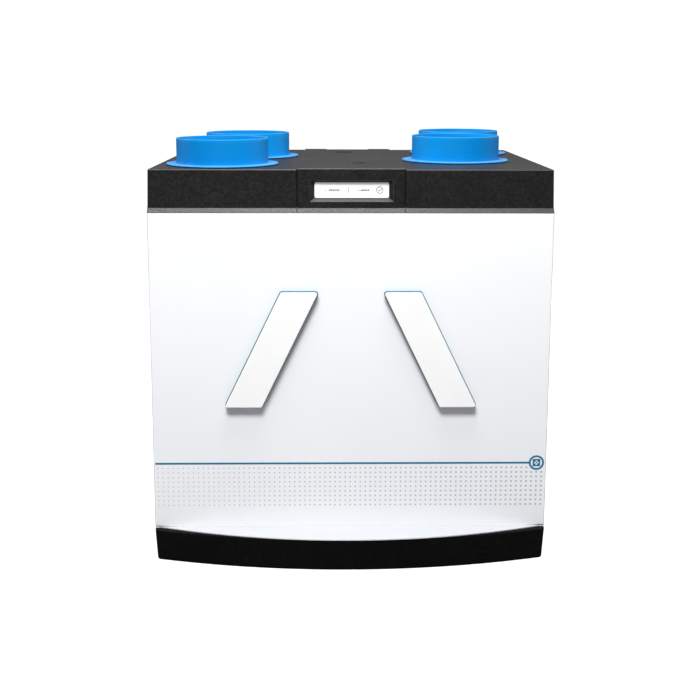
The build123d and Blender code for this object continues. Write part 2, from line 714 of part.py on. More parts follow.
with BuildPart() as bypass_housing:
    with BuildSketch(upright(INNER_BACK)):
        Polygon(*hexagon(), align=None)
    extrude(amount=INNER_BACK - HOUSING_FRONT)
    with BuildSketch(upright(FLAP_FRONT + FLAP_DEPTH + 1)):
        Polygon((-160, 600), (-208, 500), (160, 37), (208, 137), align=None)
    extrude(amount=FLAP_DEPTH + 2, mode=Mode.SUBTRACT)
    with BuildSketch(upright(FLAP_FRONT - 7)):
        with Locations(BYPASS_HIGH):
            Rectangle(MOTOR_SIZE[0] + 1, MOTOR_SIZE[1] + 1)
    extrude(amount=FLAP_FRONT - 7 - HOUSING_FRONT, mode=Mode.SUBTRACT)
    with BuildSketch(upright(INNER_BACK - 2)):
        with Locations(BYPASS_HIGH):
            Circle(FLAP_SHAFT_R + RUNNING_GAP)
    extrude(amount=INNER_BACK - 2 - HOUSING_FRONT, mode=Mode.SUBTRACT)
save(bypass_housing, "bypass_housing")

with BuildPart() as bypass_motor:
    with BuildSketch(upright(FLAP_FRONT - 7)):
        with Locations(BYPASS_HIGH):
            RectangleRounded(*MOTOR_SIZE, 4)
    extrude(amount=22)
    with BuildSketch(upright(FLAP_FRONT - 7)):
        with Locations(BYPASS_HIGH):
            Circle(FLAP_SHAFT_R + RUNNING_GAP)
    extrude(amount=8, mode=Mode.SUBTRACT)
save(bypass_motor, "bypass_motor")

with BuildPart() as bypass_flap:
    with BuildSketch(upright(FLAP_FRONT + FLAP_DEPTH)):
        with Locations(BYPASS_HIGH):
            Rectangle(FLAP_WIDTH, FLAP_THICK, rotation=BYPASS_TILT)
            Circle(5.5)
    extrude(amount=FLAP_DEPTH)
    with BuildSketch(upright(INNER_BACK - 3)):
        with Locations(BYPASS_HIGH):
            Circle(FLAP_SHAFT_R)
    extrude(amount=INNER_BACK - 3 - (FLAP_FRONT - 14))
save(bypass_flap, "bypass_flap")

# ================================================================ top blocks and duct collars


def duct_bore(side, duct):
    """Bore for one collar: wide where the sleeve sits, narrower below it."""
    for radius, foot in ((COLLAR_R + 0.3, BODY_HEIGHT - COLLAR_SINK - 0.5), (COLLAR_R - 4, CASE_TOP)):
        with BuildSketch(Plane.XY.offset(foot)) as bore:
            with Locations(duct_centre(side, duct)):
                Circle(radius)
        extrude(bore.sketch, amount=BODY_HEIGHT - foot, mode=Mode.SUBTRACT)


for side_name, side in SIDES.items():
    with BuildPart() as top_block:
        with BuildSketch(upright(BACK)):
            Polygon(
                *mirrored(side, [
                    (SEAM + 0.4, CASE_TOP),
                    (PANEL_HALF, CASE_TOP),
                    (PANEL_HALF, CASE_TOP + 4),
                    (TOP_HALF, BODY_HEIGHT),
                    (SEAM + 0.4, BODY_HEIGHT),
                ]),
                align=None,
            )
        extrude(amount=BODY_DEPTH)
        top_edges = top_block.faces().sort_by(Axis.Z)[-1].edges()
        front_corner = top_block.edges().filter_by(lambda e: abs(e.tangent_at(0.5).Z) > 0.9)
        fillet(top_edges + front_corner, 2.2)
        with BuildSketch(Plane.YZ.offset(side * (SEAM + 0.4))):
            Polygon((FRONT + 3, CASE_TOP), (PANEL_FACE, CASE_TOP), (FRONT + 3, STRIP_TOP + 4.5), align=None)
        extrude(amount=side * (PANEL_HALF - SEAM - 0.4))
        duct_bore(side, OUTER_DUCT)
        duct_bore(side, INNER_DUCT)
    save(top_block, f"top_block_{side_name}")

for duct_name, (side, duct) in DUCTS.items():
    with BuildPart() as collar:
        x, y = duct_centre(side, duct)
        with BuildSketch(Plane.XY.offset(BODY_HEIGHT - COLLAR_SINK)):
            with Locations((x, y)):
                Circle(COLLAR_R)
        extrude(amount=COLLAR_SINK + COLLAR_RISE)
        fillet(collar.faces().sort_by(Axis.Z)[-1].edges(), 1.0)
        with BuildSketch(Plane.XY.offset(BODY_HEIGHT + GASKET)):
            with Locations((x, y)):
                Circle(FLANGE_R)
        extrude(amount=FLANGE_THICK)
        fillet(collar.edges().filter_by(GeomType.CIRCLE).group_by(SortBy.RADIUS)[-1].sort_by(Axis.Z)[-1], 0.9)
        with BuildSketch(Plane.XY.offset(BODY_HEIGHT - COLLAR_SINK)):
            with Locations((x, y)):
                Circle(COLLAR_R - COLLAR_WALL)
        extrude(amount=COLLAR_SINK + COLLAR_RISE, mode=Mode.SUBTRACT)
    save(collar, f"duct_collar_{duct_name}")

with BuildPart() as collar_gaskets:
    with BuildSketch(Plane.XY.offset(BODY_HEIGHT)):
        with Locations(*[duct_centre(side, duct) for side, duct in DUCTS.values()]):
            Circle(FLANGE_R - 2)
            Circle(COLLAR_R + 1, mode=Mode.SUBTRACT)
    extrude(amount=GASKET)
save(collar_gaskets, "collar_gaskets")

# ================================================================ control cover, display and boards

with BuildPart() as control_cover:
    with BuildSketch(upright(BACK)):
        with Locations((0, (CASE_TOP + COVER_TOP) / 2)):
            Rectangle(2 * SEAM, COVER_TOP - CASE_TOP)
    extrude(amount=BODY_DEPTH)
    top_edges = control_cover.faces().sort_by(Axis.Z)[-1].edges()
    fillet(top_edges + control_cover.edges().filter_by(Axis.Z), 2.2)
    with BuildSketch(Plane.YZ.offset(-SEAM)):
        Polygon((FRONT + 3, CASE_TOP), (PANEL_FACE, CASE_TOP), (FRONT + 3, STRIP_TOP + 4.5), align=None)
    extrude(amount=2 * SEAM)
    with Locations((0, BACK - 10, COVER_TOP)):
        Box(99, 20, 2 * COVER_RISE, mode=Mode.SUBTRACT)
    with BuildSketch(upright(FRONT)):
        with Locations((DISPLAY_X, 725.4)):
            Rectangle(156, 40)
    with BuildSketch(upright(RECESS_FLOOR)):
        with Locations((DISPLAY_X, 726.3)):
            Rectangle(WINDOW_WIDTH + 2, WINDOW_HEIGHT + 2)
    loft(mode=Mode.SUBTRACT)
    window_pocket_back = FRONT + 16.5
    with BuildSketch(upright(window_pocket_back)):
        with Locations((DISPLAY_X, DISPLAY_Z)):
            Rectangle(WINDOW_WIDTH + 0.6, WINDOW_HEIGHT + 0.6)
    extrude(amount=window_pocket_back - RECESS_FLOOR, mode=Mode.SUBTRACT)
    cavity_front = FRONT + 37.5
    cavity_back = BACK - 20
    with Locations((0, (window_pocket_back + cavity_front) / 2, DISPLAY_Z)):
        Box(60, cavity_front - window_pocket_back, 20, mode=Mode.SUBTRACT)
    with Locations((0, (cavity_front + cavity_back) / 2, (CASE_TOP + CAVITY_TOP) / 2)):
        Box(2 * CAVITY_HALF, cavity_back - cavity_front, CAVITY_TOP - CASE_TOP, mode=Mode.SUBTRACT)
    for gx, gy, gr in (LARGE_GROMMET, SMALL_GROMMET):
        with Locations((gx, gy, COVER_TOP)):
            Cylinder(gr - 3.7, 4 * COVER_TOP - 4 * CAVITY_TOP, mode=Mode.SUBTRACT)
save(control_cover, "control_cover")

for grommet_name, (gx, gy, gr) in {"large": LARGE_GROMMET, "small": SMALL_GROMMET}.items():
    with BuildPart() as grommet:
        with BuildSketch(Plane.XY.offset(COVER_TOP)):
            with Locations((gx, gy)):
                Circle(gr)
        extrude(amount=1.6)
        fillet(grommet.faces().sort_by(Axis.Z)[-1].edges(), 0.8)
        with BuildSketch(Plane.XY.offset(COVER_TOP)):
            with Locations((gx, gy)):
                Circle(gr - 4)
                Circle(gr - 6, mode=Mode.SUBTRACT)
        extrude(amount=-18)
    save(grommet, f"cable_grommet_{grommet_name}")

with BuildPart() as display_window:
    with BuildSketch(upright(WINDOW_FACE + WINDOW_THICK)):
        with Locations((DISPLAY_X, DISPLAY_Z)):
            RectangleRounded(WINDOW_WIDTH, WINDOW_HEIGHT, 3)
        with Locations((BUTTON_X, BUTTON_Z)):
            Circle(BUTTON_R + 0.3, mode=Mode.SUBTRACT)
    extrude(amount=WINDOW_THICK)
save(display_window, "display_window")

BUTTON_FACE = WINDOW_FACE - 0.3
with BuildPart() as reset_button:
    with BuildSketch(upright(WINDOW_FACE + WINDOW_THICK + 1.3)):
        with Locations((BUTTON_X, BUTTON_Z)):
            Circle(BUTTON_R + 1.5)
    extrude(amount=1)
    with BuildSketch(upright(WINDOW_FACE + WINDOW_THICK + 0.5)):
        with Locations((BUTTON_X, BUTTON_Z)):
            Circle(BUTTON_R)
    extrude(amount=WINDOW_THICK + 0.8)
    fillet(reset_button.faces().sort_by(Axis.Y)[0].edges(), 0.4)
save(reset_button, "reset_button")

with BuildPart() as display_board:
    board_front = WINDOW_FACE + WINDOW_THICK + 1.3 + BUTTON_TRAVEL + 0.4
    with BuildSketch(upright(board_front + 1.6)):
        with Locations((DISPLAY_X, DISPLAY_Z)):
            Rectangle(WINDOW_WIDTH - 6, WINDOW_HEIGHT - 4)
    extrude(amount=1.6)
save(display_board, "display_board")

TRAY_FRONT = TURN_Y - 160
TRAY_BACK = TURN_Y + 240
with BuildPart() as control_tray:
    with Locations((0, (TRAY_FRONT + TRAY_BACK) / 2, CASE_TOP)):
        Box(
            2 * CAVITY_HALF - 6, TRAY_BACK - TRAY_FRONT, 18,
            align=(Align.CENTER, Align.CENTER, Align.MIN),
        )
    offset(amount=-2, openings=control_tray.faces().sort_by(Axis.Z)[-1])
    with Locations((0, (TRAY_FRONT + TRAY_BACK) / 2, CASE_TOP + 2)):
        with GridLocations(130, TRAY_BACK - TRAY_FRONT - 30, 2, 2):
            Cylinder(4, 6, align=(Align.CENTER, Align.CENTER, Align.MIN))
save(control_tray, "control_tray")

BOARD_TOP = CASE_TOP + 8 + 1.6
with BuildPart() as main_board:
    with Locations((0, (TRAY_FRONT + TRAY_BACK) / 2, CASE_TOP + 8)):
        Box(
            148, TRAY_BACK - TRAY_FRONT - 12, 1.6,
            align=(Align.CENTER, Align.CENTER, Align.MIN),
        )
save(main_board, "main_board")

with BuildPart() as board_components:
    standing = (Align.CENTER, Align.CENTER, Align.MIN)
    with Locations(*[(-52 + 26 * i, TRAY_BACK - 30, BOARD_TOP) for i in range(5)]):
        Box(20, 18, 16, align=standing)
    with Locations(*[(-45 + 30 * i, TURN_Y + 130, BOARD_TOP) for i in range(3)]):
        Cylinder(9, 26, align=standing)
    with Locations((-30, TURN_Y + 60, BOARD_TOP), (30, TURN_Y + 60, BOARD_TOP)):
        Box(36, 30, 22, align=standing)
    with Locations((0, TURN_Y - 30, BOARD_TOP)):
        Box(90, 40, 6, align=standing)
    with Locations(*[(-54 + 18 * i, TRAY_FRONT + 24, BOARD_TOP) for i in range(7)]):
        Box(12, 10, 10, align=standing)
save(board_components, "board_components")

# ================================================================ temperature sensors

with BuildPart() as temperature_sensors:
    for side in (-1, 1):
        for v, z in ((-150, 430), (-40, 130)):
            with BuildSketch(Plane.YZ.offset(side * WALL_U)):
                with Locations((TURN_Y + side * v, z)):
                    Circle(3)
            extrude(amount=-side * 34)
save(temperature_sensors, "temperature_sensors")
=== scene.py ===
"""Looks of a wall-hung heat recovery unit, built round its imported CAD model.

The casing, foam, handles and everything inside keep their CAD shapes and get finishes here. The collars and
the filter media are replaced by smoother surfaces, and the printed marks and the foam's steam vents are added.
Lengths are in metres, angles in radians, +Z is up and the front faces -Y.
"""

from __future__ import annotations

import json
import logging
import math
from dataclasses import dataclass, field
from enum import Enum

import bpy
import numpy as np
from mathutils import Matrix, Vector


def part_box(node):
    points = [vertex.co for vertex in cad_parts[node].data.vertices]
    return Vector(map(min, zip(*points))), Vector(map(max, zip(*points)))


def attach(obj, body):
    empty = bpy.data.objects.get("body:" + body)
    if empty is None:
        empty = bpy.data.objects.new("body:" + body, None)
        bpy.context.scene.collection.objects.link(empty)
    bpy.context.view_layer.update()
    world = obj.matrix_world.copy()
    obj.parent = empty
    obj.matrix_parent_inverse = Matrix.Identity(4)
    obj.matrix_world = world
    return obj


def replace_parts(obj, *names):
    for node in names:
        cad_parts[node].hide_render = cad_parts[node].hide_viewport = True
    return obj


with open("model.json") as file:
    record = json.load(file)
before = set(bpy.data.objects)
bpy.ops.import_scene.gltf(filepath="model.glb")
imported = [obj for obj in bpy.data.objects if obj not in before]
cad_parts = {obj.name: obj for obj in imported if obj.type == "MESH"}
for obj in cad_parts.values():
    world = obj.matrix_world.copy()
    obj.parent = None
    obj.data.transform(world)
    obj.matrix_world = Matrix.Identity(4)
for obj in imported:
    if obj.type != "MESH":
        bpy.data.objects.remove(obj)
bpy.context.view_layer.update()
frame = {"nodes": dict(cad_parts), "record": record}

LOG = logging.getLogger("heat_recovery_unit")
Pair = tuple[float, float]
Colour = tuple[float, float, float]
Socket = bpy.types.NodeSocket
Value = Socket | float
Feeds = dict[str | int, object]
OPAQUE_WHITE = (1.0, 1.0, 1.0, 1.0)
QUARTER = math.pi / 2.0


class Body(str, Enum):
    """The bodies that pieces ride on."""

    CASING = "root"
    FILTER_LEFT = "filter_left"
    FILTER_RIGHT = "filter_right"
    BUTTON = "button"


class Slot(str, Enum):
    """The record's material slots."""

    FOAM_BLACK = "foam_black"
    FOAM_INNER = "foam_inner"
    PANEL_WHITE = "panel_white"
    GALVANISED = "galvanised_steel"
    SCREW_STEEL = "screw_steel"
    COLLAR_BLUE = "collar_blue"
    RUBBER_BLACK = "rubber_black"
    HANDLE_WHITE = "handle_white"
    RIM_BLUE = "rim_blue"
    DISPLAY_WHITE = "display_white"
    CASSETTE = "cassette_plastic"
    FLEECE = "filter_fleece"
    EXCHANGER = "exchanger_plastic"
    FAN = "fan_plastic"
    MOTOR = "motor_metal"
    PAN = "pan_plastic"
    BOARD = "board_green"
    COMPONENT = "component_dark"


# ---------------------------------------------------------------- node trees


class Effect(str, Enum):
    """The effects that several finishes share, each one a node group."""

    BEADS = "foam beads"
    # The edge mask serves painted edge highlights and shade as well as wear.
    EDGES = "edge mask for painted edge shading and wear"
    GRAIN = "moulded grain"
    DRIFT = "slow drift"
    # Settled specks on faces that look up, which also paint a sheen there.
    DUST = "settled dust"


class Wiring:
    """Adds nodes to one tree and joins them."""

    def __init__(self, tree: bpy.types.NodeTree) -> None:
        """Keeps the tree that nodes are added to."""
        self.tree = tree

    def node(self, kind: str, feeds: Feeds | None = None, **settings: object) -> bpy.types.Node:
        """Adds one node.

        Args:
            kind: The node's type, without the ShaderNode prefix.
            feeds: What goes into each input, by name or number: a value or another node's output.
            **settings: Properties set on the node before its inputs.

        Returns:
            The new node.
        """
        made = self.tree.nodes.new(f"ShaderNode{kind}")
        for name, value in settings.items():
            setattr(made, name, value)
        for key, value in (feeds or {}).items():
            if isinstance(value, Socket):
                self.tree.links.new(value, made.inputs[key])
            else:
                made.inputs[key].default_value = value
        return made

    def math(self, operation: str, first: Value, second: Value) -> Socket:
        """Returns a Math node's result, held between 0 and 1."""
        return self.node("Math", {0: first, 1: second}, operation=operation, use_clamp=True).outputs[0]

    def times(self, first: Value, second: Value) -> Socket:
        """Returns the product of two values, held between 0 and 1."""
        return self.math("MULTIPLY", first, second)

    def ramp(self, value: Socket, start: float, end: float, low: float = 0.0, high: float = 1.0) -> Socket:
        """Spreads a value smoothly from start and end to low and high, and holds it beyond them."""
        feeds = {"Value": value, "From Min": start, "From Max": end, "To Min": low, "To Max": high}
        return self.node("MapRange", feeds, interpolation_type="SMOOTHSTEP").outputs[0]

    def for_camera(self, others: float, camera: float) -> Socket:
        """Returns one value for the camera's rays and another for all other rays."""
        seen = self.node("LightPath").outputs["Is Camera Ray"]
        return self.node("MapRange", {"Value": seen, "To Min": others, "To Max": camera}).outputs[0]

    def blend(self, share: Value, *colours: Colour | Socket) -> Socket:
        """Mixes two colours: the share is how much of the second shows, from 0 to 1."""
        first, second = (part if isinstance(part, Socket) else (*part, 1.0) for part in colours)
        return self.node("Mix", {0: share, 6: first, 7: second}, data_type="RGBA").outputs[2]

    def coats(self, tone: Colour | Socket, *coats: tuple[Socket, float, Colour]) -> Socket:
        """Lays coats of colour over one another.

        Each coat shows by its mask times its strength, over the coats before it.

        Args:
            tone: The colour underneath.
            *coats: Mask, strength and colour of each coat, from the lowest up.

        Returns:
            The finished colour.
        """
        for mask, strength, colour in coats:
            tone = self.blend(self.times(mask, strength), tone, colour)
        return tone

    def place(self) -> Socket:
        """Returns the object coordinates."""
        return self.node("TexCoord").outputs["Object"]

    def facing(self) -> list[Socket]:
        """Returns the x, y and z of the true surface direction."""
        way = self.node("NewGeometry").outputs["Normal"]
        return list(self.node("SeparateXYZ", {0: way}).outputs)

    def noise(self, vector: Socket, scale: Value, detail: float = 2.0, roughness: float = 0.5) -> Socket:
        """Returns a 3-D noise around 0.5, with so many features per metre and finer layers."""
        feeds = {"Vector": vector, "Scale": scale, "Detail": detail, "Roughness": roughness}
        return self.node("TexNoise", feeds).outputs[0]

    def wavy(self, place: Socket, scale: float, detail: float, reach: float) -> Socket:
        """Bends a place: each coordinate has a noise of its own, times the reach, added to it.

        Args:
            place: The place to bend.
            scale: Features per metre of the noise.
            detail: Its number of finer layers.
            reach: The furthest shift in metres.

        Returns:
            The bent place.
        """
        bend = self.node("TexNoise", {"Vector": place, "Scale": scale, "Detail": detail}).outputs["Color"]
        shift = self.node("VectorMath", {0: bend, 1: (reach,) * 3}, operation="MULTIPLY").outputs[0]
        return self.node("VectorMath", {0: place, 1: shift}, operation="ADD").outputs[0]

    def cell_tone(self, place: Socket, scale: Value) -> Socket:
        """Returns a tone of its own for each cell of a cell pattern."""
        colour = self.node("TexVoronoi", {"Vector": place, "Scale": scale}, feature="F1").outputs["Color"]
        return self.node("SeparateColor", {0: colour}).outputs[0]

    def bump(self, height: Socket, depth: float, strength: float, under: Socket | None = None) -> Socket:
        """Adds a bump.

        Args:
            height: The height map, from 0 to 1.
            depth: What a height of 1 is, in metres.
            strength: How strongly the bump shows.
            under: The surface direction that the bump is laid on.

        Returns:
            The bumped surface direction.
        """
        feeds = {"Height": height, "Distance": depth, "Strength": strength}
        if under is not None:
            feeds["Normal"] = under
        return self.node("Bump", feeds).outputs[0]

    def effect(self, effect: Effect, *values: float) -> list[Socket]:
        """Places a shared effect with its inputs in order and returns its outputs."""
        return list(self.node("Group", dict(enumerate(values)), node_tree=SharedEffects.tree(effect)).outputs)

    def edges(self, radius: float, breakup: float) -> list[Socket]:
        """Places the edge mask, for painted edge highlights and shade and for wear; returns it and the rounded
        direction.
        """
        return self.effect(Effect.EDGES, radius, breakup)

    def grain(self, per_metre: float, fineness: float) -> list[Socket]:
        """Places the moulded grain and returns its height and its flecks."""
        return self.effect(Effect.GRAIN, per_metre, fineness)

    def drift(self, per_metre: float) -> Socket:
        """Places the slow drift of tone and returns it."""
        return self.effect(Effect.DRIFT, per_metre)[0]

    def dust(self, amount: float) -> Socket:
        """Places the settled specks and painted sheen on faces that look up, and returns their mask."""
        return self.effect(Effect.DUST, amount)[0]


class SharedEffects:
    """Builds the shared effects. Each method lays one and returns its outputs in order."""

    SOCKETS: dict[Effect, tuple[dict[str, float], tuple[str, ...]]] = {
        Effect.BEADS: ({"Beads per Metre": 260.0, "Pores": 0.25}, ("Height", "Groove", "Tone")),
        Effect.EDGES: ({"Radius": 0.001, "Breakup": 0.5}, ("Edge", "Rounded")),
        Effect.GRAIN: ({"Grains per Metre": 900.0, "Fineness": 0.5}, ("Height", "Fleck")),
        Effect.DRIFT: ({"Clouds per Metre": 6.0}, ("Drift",)),
        Effect.DUST: ({"Amount": 0.3}, ("Dust",)),
    }
    DIRECTIONS = ("Rounded",)

    @classmethod
    def tree(cls, effect: Effect) -> bpy.types.NodeTree:
        """Returns an effect's group, built the first time.

        Args:
            effect: The effect.

        Returns:
            The group's node tree, with its named inputs and outputs.
        """
        if effect.value in bpy.data.node_groups:
            return bpy.data.node_groups[effect.value]
        tree = bpy.data.node_groups.new(effect.value, "ShaderNodeTree")
        inputs, outputs = cls.SOCKETS[effect]
        for title, value in inputs.items():
            entry = tree.interface.new_socket(title, in_out="INPUT", socket_type="NodeSocketFloat")
            entry.default_value = value
        for title in outputs:
            kind = "NodeSocketVector" if title in cls.DIRECTIONS else "NodeSocketFloat"
            tree.interface.new_socket(title, in_out="OUTPUT", socket_type=kind)
        given = tree.nodes.new("NodeGroupInput").outputs
        leave = tree.nodes.new("NodeGroupOutput")
        lay = getattr(cls, effect.name.lower())
        for title, made in zip(outputs, lay(Wiring(tree), *(given[name] for name in inputs))):
            tree.links.new(made, leave.inputs[title])
        return tree

    @staticmethod
    def beads(wires: Wiring, per_metre: Socket, pores: Socket) -> tuple[Socket, ...]:
        """Lays the expanded beads of moulded foam.

        A cell pattern gives each bead a crowned face that falls to a groove at its border, with pores and
        a tone of its own.

        Args:
            wires: The group's wiring.
            per_metre: Beads per metre.
            pores: Height of the pores.

        Returns:
            Height, groove and tone.
        """
        place = wires.place()
        bent = wires.wavy(place, scale=90.0, detail=1.0, reach=0.0016)
        cells = {"Vector": bent, "Scale": per_metre}
        border = wires.node("TexVoronoi", cells, feature="DISTANCE_TO_EDGE").outputs["Distance"]
        own = wires.cell_tone(bent, per_metre)
        crown = wires.times(wires.ramp(border, 0.0, 0.22), 0.6)
        lifted = wires.math("ADD", crown, wires.times(own, 0.15))
        height = wires.math("ADD", lifted, wires.times(wires.noise(place, 1500.0, 2.0, 0.6), pores))
        return height, wires.ramp(border, 0.0, 0.07, 1.0, 0.0), own

    @staticmethod
    def edges(wires: Wiring, radius: Socket, breakup: Socket) -> tuple[Socket, ...]:
        """Lays the edge mask, which finishes use for painted edge highlights and shade as well as for wear.

        The surface direction averaged over a small radius is compared with the true one: where they
        differ there is an edge. The averaged direction also rounds the edge off for the light.

        Args:
            wires: The group's wiring.
            radius: Width of the edges.
            breakup: Share of the flecks that break them up.

        Returns:
            Edge mask and rounded direction.
        """
        rounded = wires.node("Bevel", {"Radius": radius}, samples=6).outputs[0]
        true_way = wires.node("NewGeometry").outputs["Normal"]
        same = wires.node("VectorMath", {0: rounded, 1: true_way}, operation="DOT_PRODUCT").outputs["Value"]
        flecks = wires.ramp(wires.noise(wires.place(), 420.0, 3.0, 0.6), 0.35, 0.62)
        kept = wires.math("SUBTRACT", 1.0, wires.times(breakup, flecks))
        return wires.times(wires.ramp(same, 0.995, 0.80), kept), rounded

    @staticmethod
    def grain(wires: Wiring, per_metre: Socket, fineness: Socket) -> tuple[Socket, ...]:
        """Lays a fine grain: one noise for the grain itself and a finer one for the tool marks on it.

        Args:
            wires: The group's wiring.
            per_metre: Grains per metre.
            fineness: Share of the finer noise.

        Returns:
            Height and flecks.
        """
        place = wires.place()
        finer = wires.node("Math", {0: per_metre, 1: 3.7}, operation="MULTIPLY").outputs[0]
        fine = wires.noise(place, finer, 1.0, 0.5)
        coarse = wires.times(wires.noise(place, per_metre, 3.0, 0.55), 0.6)
        return wires.math("ADD", coarse, wires.times(fine, fineness)), wires.ramp(fine, 0.55, 0.75)

    @staticmethod
    def drift(wires: Wiring, per_metre: Socket) -> tuple[Socket, ...]:
        """Lays a slow, cloudy change of tone over the whole piece."""
        return (wires.ramp(wires.noise(wires.place(), per_metre, 3.0, 0.5), 0.3, 0.7),)

    @staticmethod
    def dust(wires: Wiring, amount: Socket) -> tuple[Socket, ...]:
        """Lays settled specks and a painted sheen thinly on faces that look up, broken by a fine noise."""
        specks = wires.ramp(wires.noise(wires.place(), 700.0, 4.0, 0.7), 0.42, 0.72)
        return (wires.times(wires.times(wires.ramp(wires.facing()[2], 0.75, 1.0), specks), amount),)


# ---------------------------------------------------------------- finishes


def srgb(*parts: int) -> Colour:
    """Turns an 8-bit display colour into linear light."""
    steps = np.array(parts) / 255.0
    return tuple(np.where(steps <= 0.04045, steps / 12.92, ((steps + 0.055) / 1.055) ** 2.4).tolist())


def shade(colour: Colour, factor: float) -> Colour:
    """Returns a colour times a factor, held at 1."""
    return tuple(min(1.0, factor * part) for part in colour)


def tint(colour: Colour, share: float) -> Colour:
    """Moves a colour a share of the way to white."""
    return tuple(part + (1.0 - part) * share for part in colour)


@dataclass(frozen=True)
class Finish:
    """A surface finish. Each kind of finish lays its own nodes.

    Attributes:
        name: The material's name.
        colour: Its main colour in linear light.
    """

    name: str
    colour: Colour

    def material(self) -> bpy.types.Material:
        """Builds the finish's material the first time.

        Returns:
            The material.
        """
        if self.name not in bpy.data.materials:
            made = bpy.data.materials.new(self.name)
            made.use_nodes = True
            made.node_tree.nodes.clear()
            made.diffuse_color = (*self.colour, 1.0)
            wires = Wiring(made.node_tree)
            shader = wires.node("BsdfPrincipled", self.lay(wires))
            wires.node("OutputMaterial", {"Surface": shader.outputs[0]})
        return bpy.data.materials[self.name]

    def lay(self, wires: Wiring) -> Feeds:
        """Lays the finish's nodes and returns what feeds the shader."""
        raise NotImplementedError


@dataclass(frozen=True)
class FoamFinish(Finish):
    """Moulded bead foam, with crowned beads and grooves between them darkened by painted shade; its edges and
    roundings that look up carry a paler painted highlight.

    Attributes:
        edge: Colour of the painted highlight on edges and on roundings that look up.
        ledge: Colour of the ledge over the front panel, painted paler as light, for a ledge that faces up to
            the lamps.
        ledge_low: Height of the ledge's foot.
        ledge_high: Height of the ledge's top, or 0 for no ledge.
        ledge_front: The ledge lies in front of this plane.
        bead: Diameter of a bead.
        shine: The shader's specular level.
        rough: Roughness of the beads' crowns.
        contrast: How many times paler the palest bead is.
        edge_radius: Width of the painted edge highlights.
        dust: Share of the settled specks and painted sheen on level faces.
    """

    edge: Colour
    ledge: Colour = (0.10, 0.10, 0.102)
    ledge_low: float = 0.0
    ledge_high: float = 0.0
    ledge_front: float = 0.0
    bead: float = 0.0042
    shine: float = 0.2
    rough: float = 0.46
    contrast: float = 1.9
    edge_radius: float = 0.0016
    dust: float = 0.10

    def lay(self, wires: Wiring) -> Feeds:
        """Lays bead tone, painted shade in the grooves, settled specks with a painted sheen, painted highlights
        on edges and on roundings that look up, the ledge's painted light and the bead relief.

        Args:
            wires: The material's wiring.

        Returns:
            What feeds the shader.
        """
        height, groove, own = wires.effect(Effect.BEADS, 1.0 / self.bead, 0.3)
        edge, rounded = wires.edges(radius=self.edge_radius, breakup=0.35)
        dark = shade(self.colour, 0.45)
        tone = wires.coats(
            self.colour,
            (own, 0.8, shade(self.colour, self.contrast)),
            # Painted shade: the grooves between the beads are darkened.
            (groove, 0.75, dark),
            (wires.drift(9.0), 0.3, dark),
            # Settled specks and a painted sheen on faces that look up.
            (wires.dust(self.dust), 1.0, (0.22, 0.22, 0.23)),
            # Painted highlight on edges and on roundings that look up.
            (wires.math("MAXIMUM", edge, wires.times(self.rounding(wires), 0.3)), 0.8, self.edge),
        )
        # Painted light: the ledge faces up to the lamps and is painted paler, mottled darker by bead tone and
        # by painted shade in the grooves.
        if self.ledge_high > 0.0:
            mottle = wires.times(wires.math("ADD", own, groove), 0.7)
            ledge = wires.blend(mottle, self.ledge, shade(self.ledge, 0.55))
            tone = wires.blend(self.ledge_mask(wires), tone, ledge)
        return {
            "Base Color": tone,
            "Roughness": wires.ramp(groove, 0.0, 1.0, self.rough, 0.75),
            "Normal": wires.bump(height, depth=0.00035, strength=0.55, under=rounded),
            "Specular IOR Level": self.shine,
        }

    @staticmethod
    def rounding(wires: Wiring) -> Socket:
        """Returns 1 on roundings that look up at a slant, and 0 on level and upright faces: the place of a
        painted highlight.
        """
        up = wires.facing()[2]
        return wires.times(wires.ramp(up, 0.15, 0.45), wires.ramp(up, 0.82, 0.96, 1.0, 0.0))

    def ledge_mask(self, wires: Wiring) -> Socket:
        """Finds the ledge, whose paler colour is painted light, from height and depth.

        Args:
            wires: The material's wiring.

        Returns:
            1 on the ledge and 0 elsewhere.
        """
        _, depth, height = wires.node("SeparateXYZ", {0: wires.place()}).outputs
        over = wires.ramp(height, self.ledge_low + 0.0004, self.ledge_low + 0.0012)
        under = wires.ramp(height, self.ledge_high - 0.0006, self.ledge_high + 0.0002, 1.0, 0.0)
        ahead = wires.ramp(depth, self.ledge_front, self.ledge_front + 0.0008, 1.0, 0.0)
        return wires.times(wires.times(over, under), ahead)


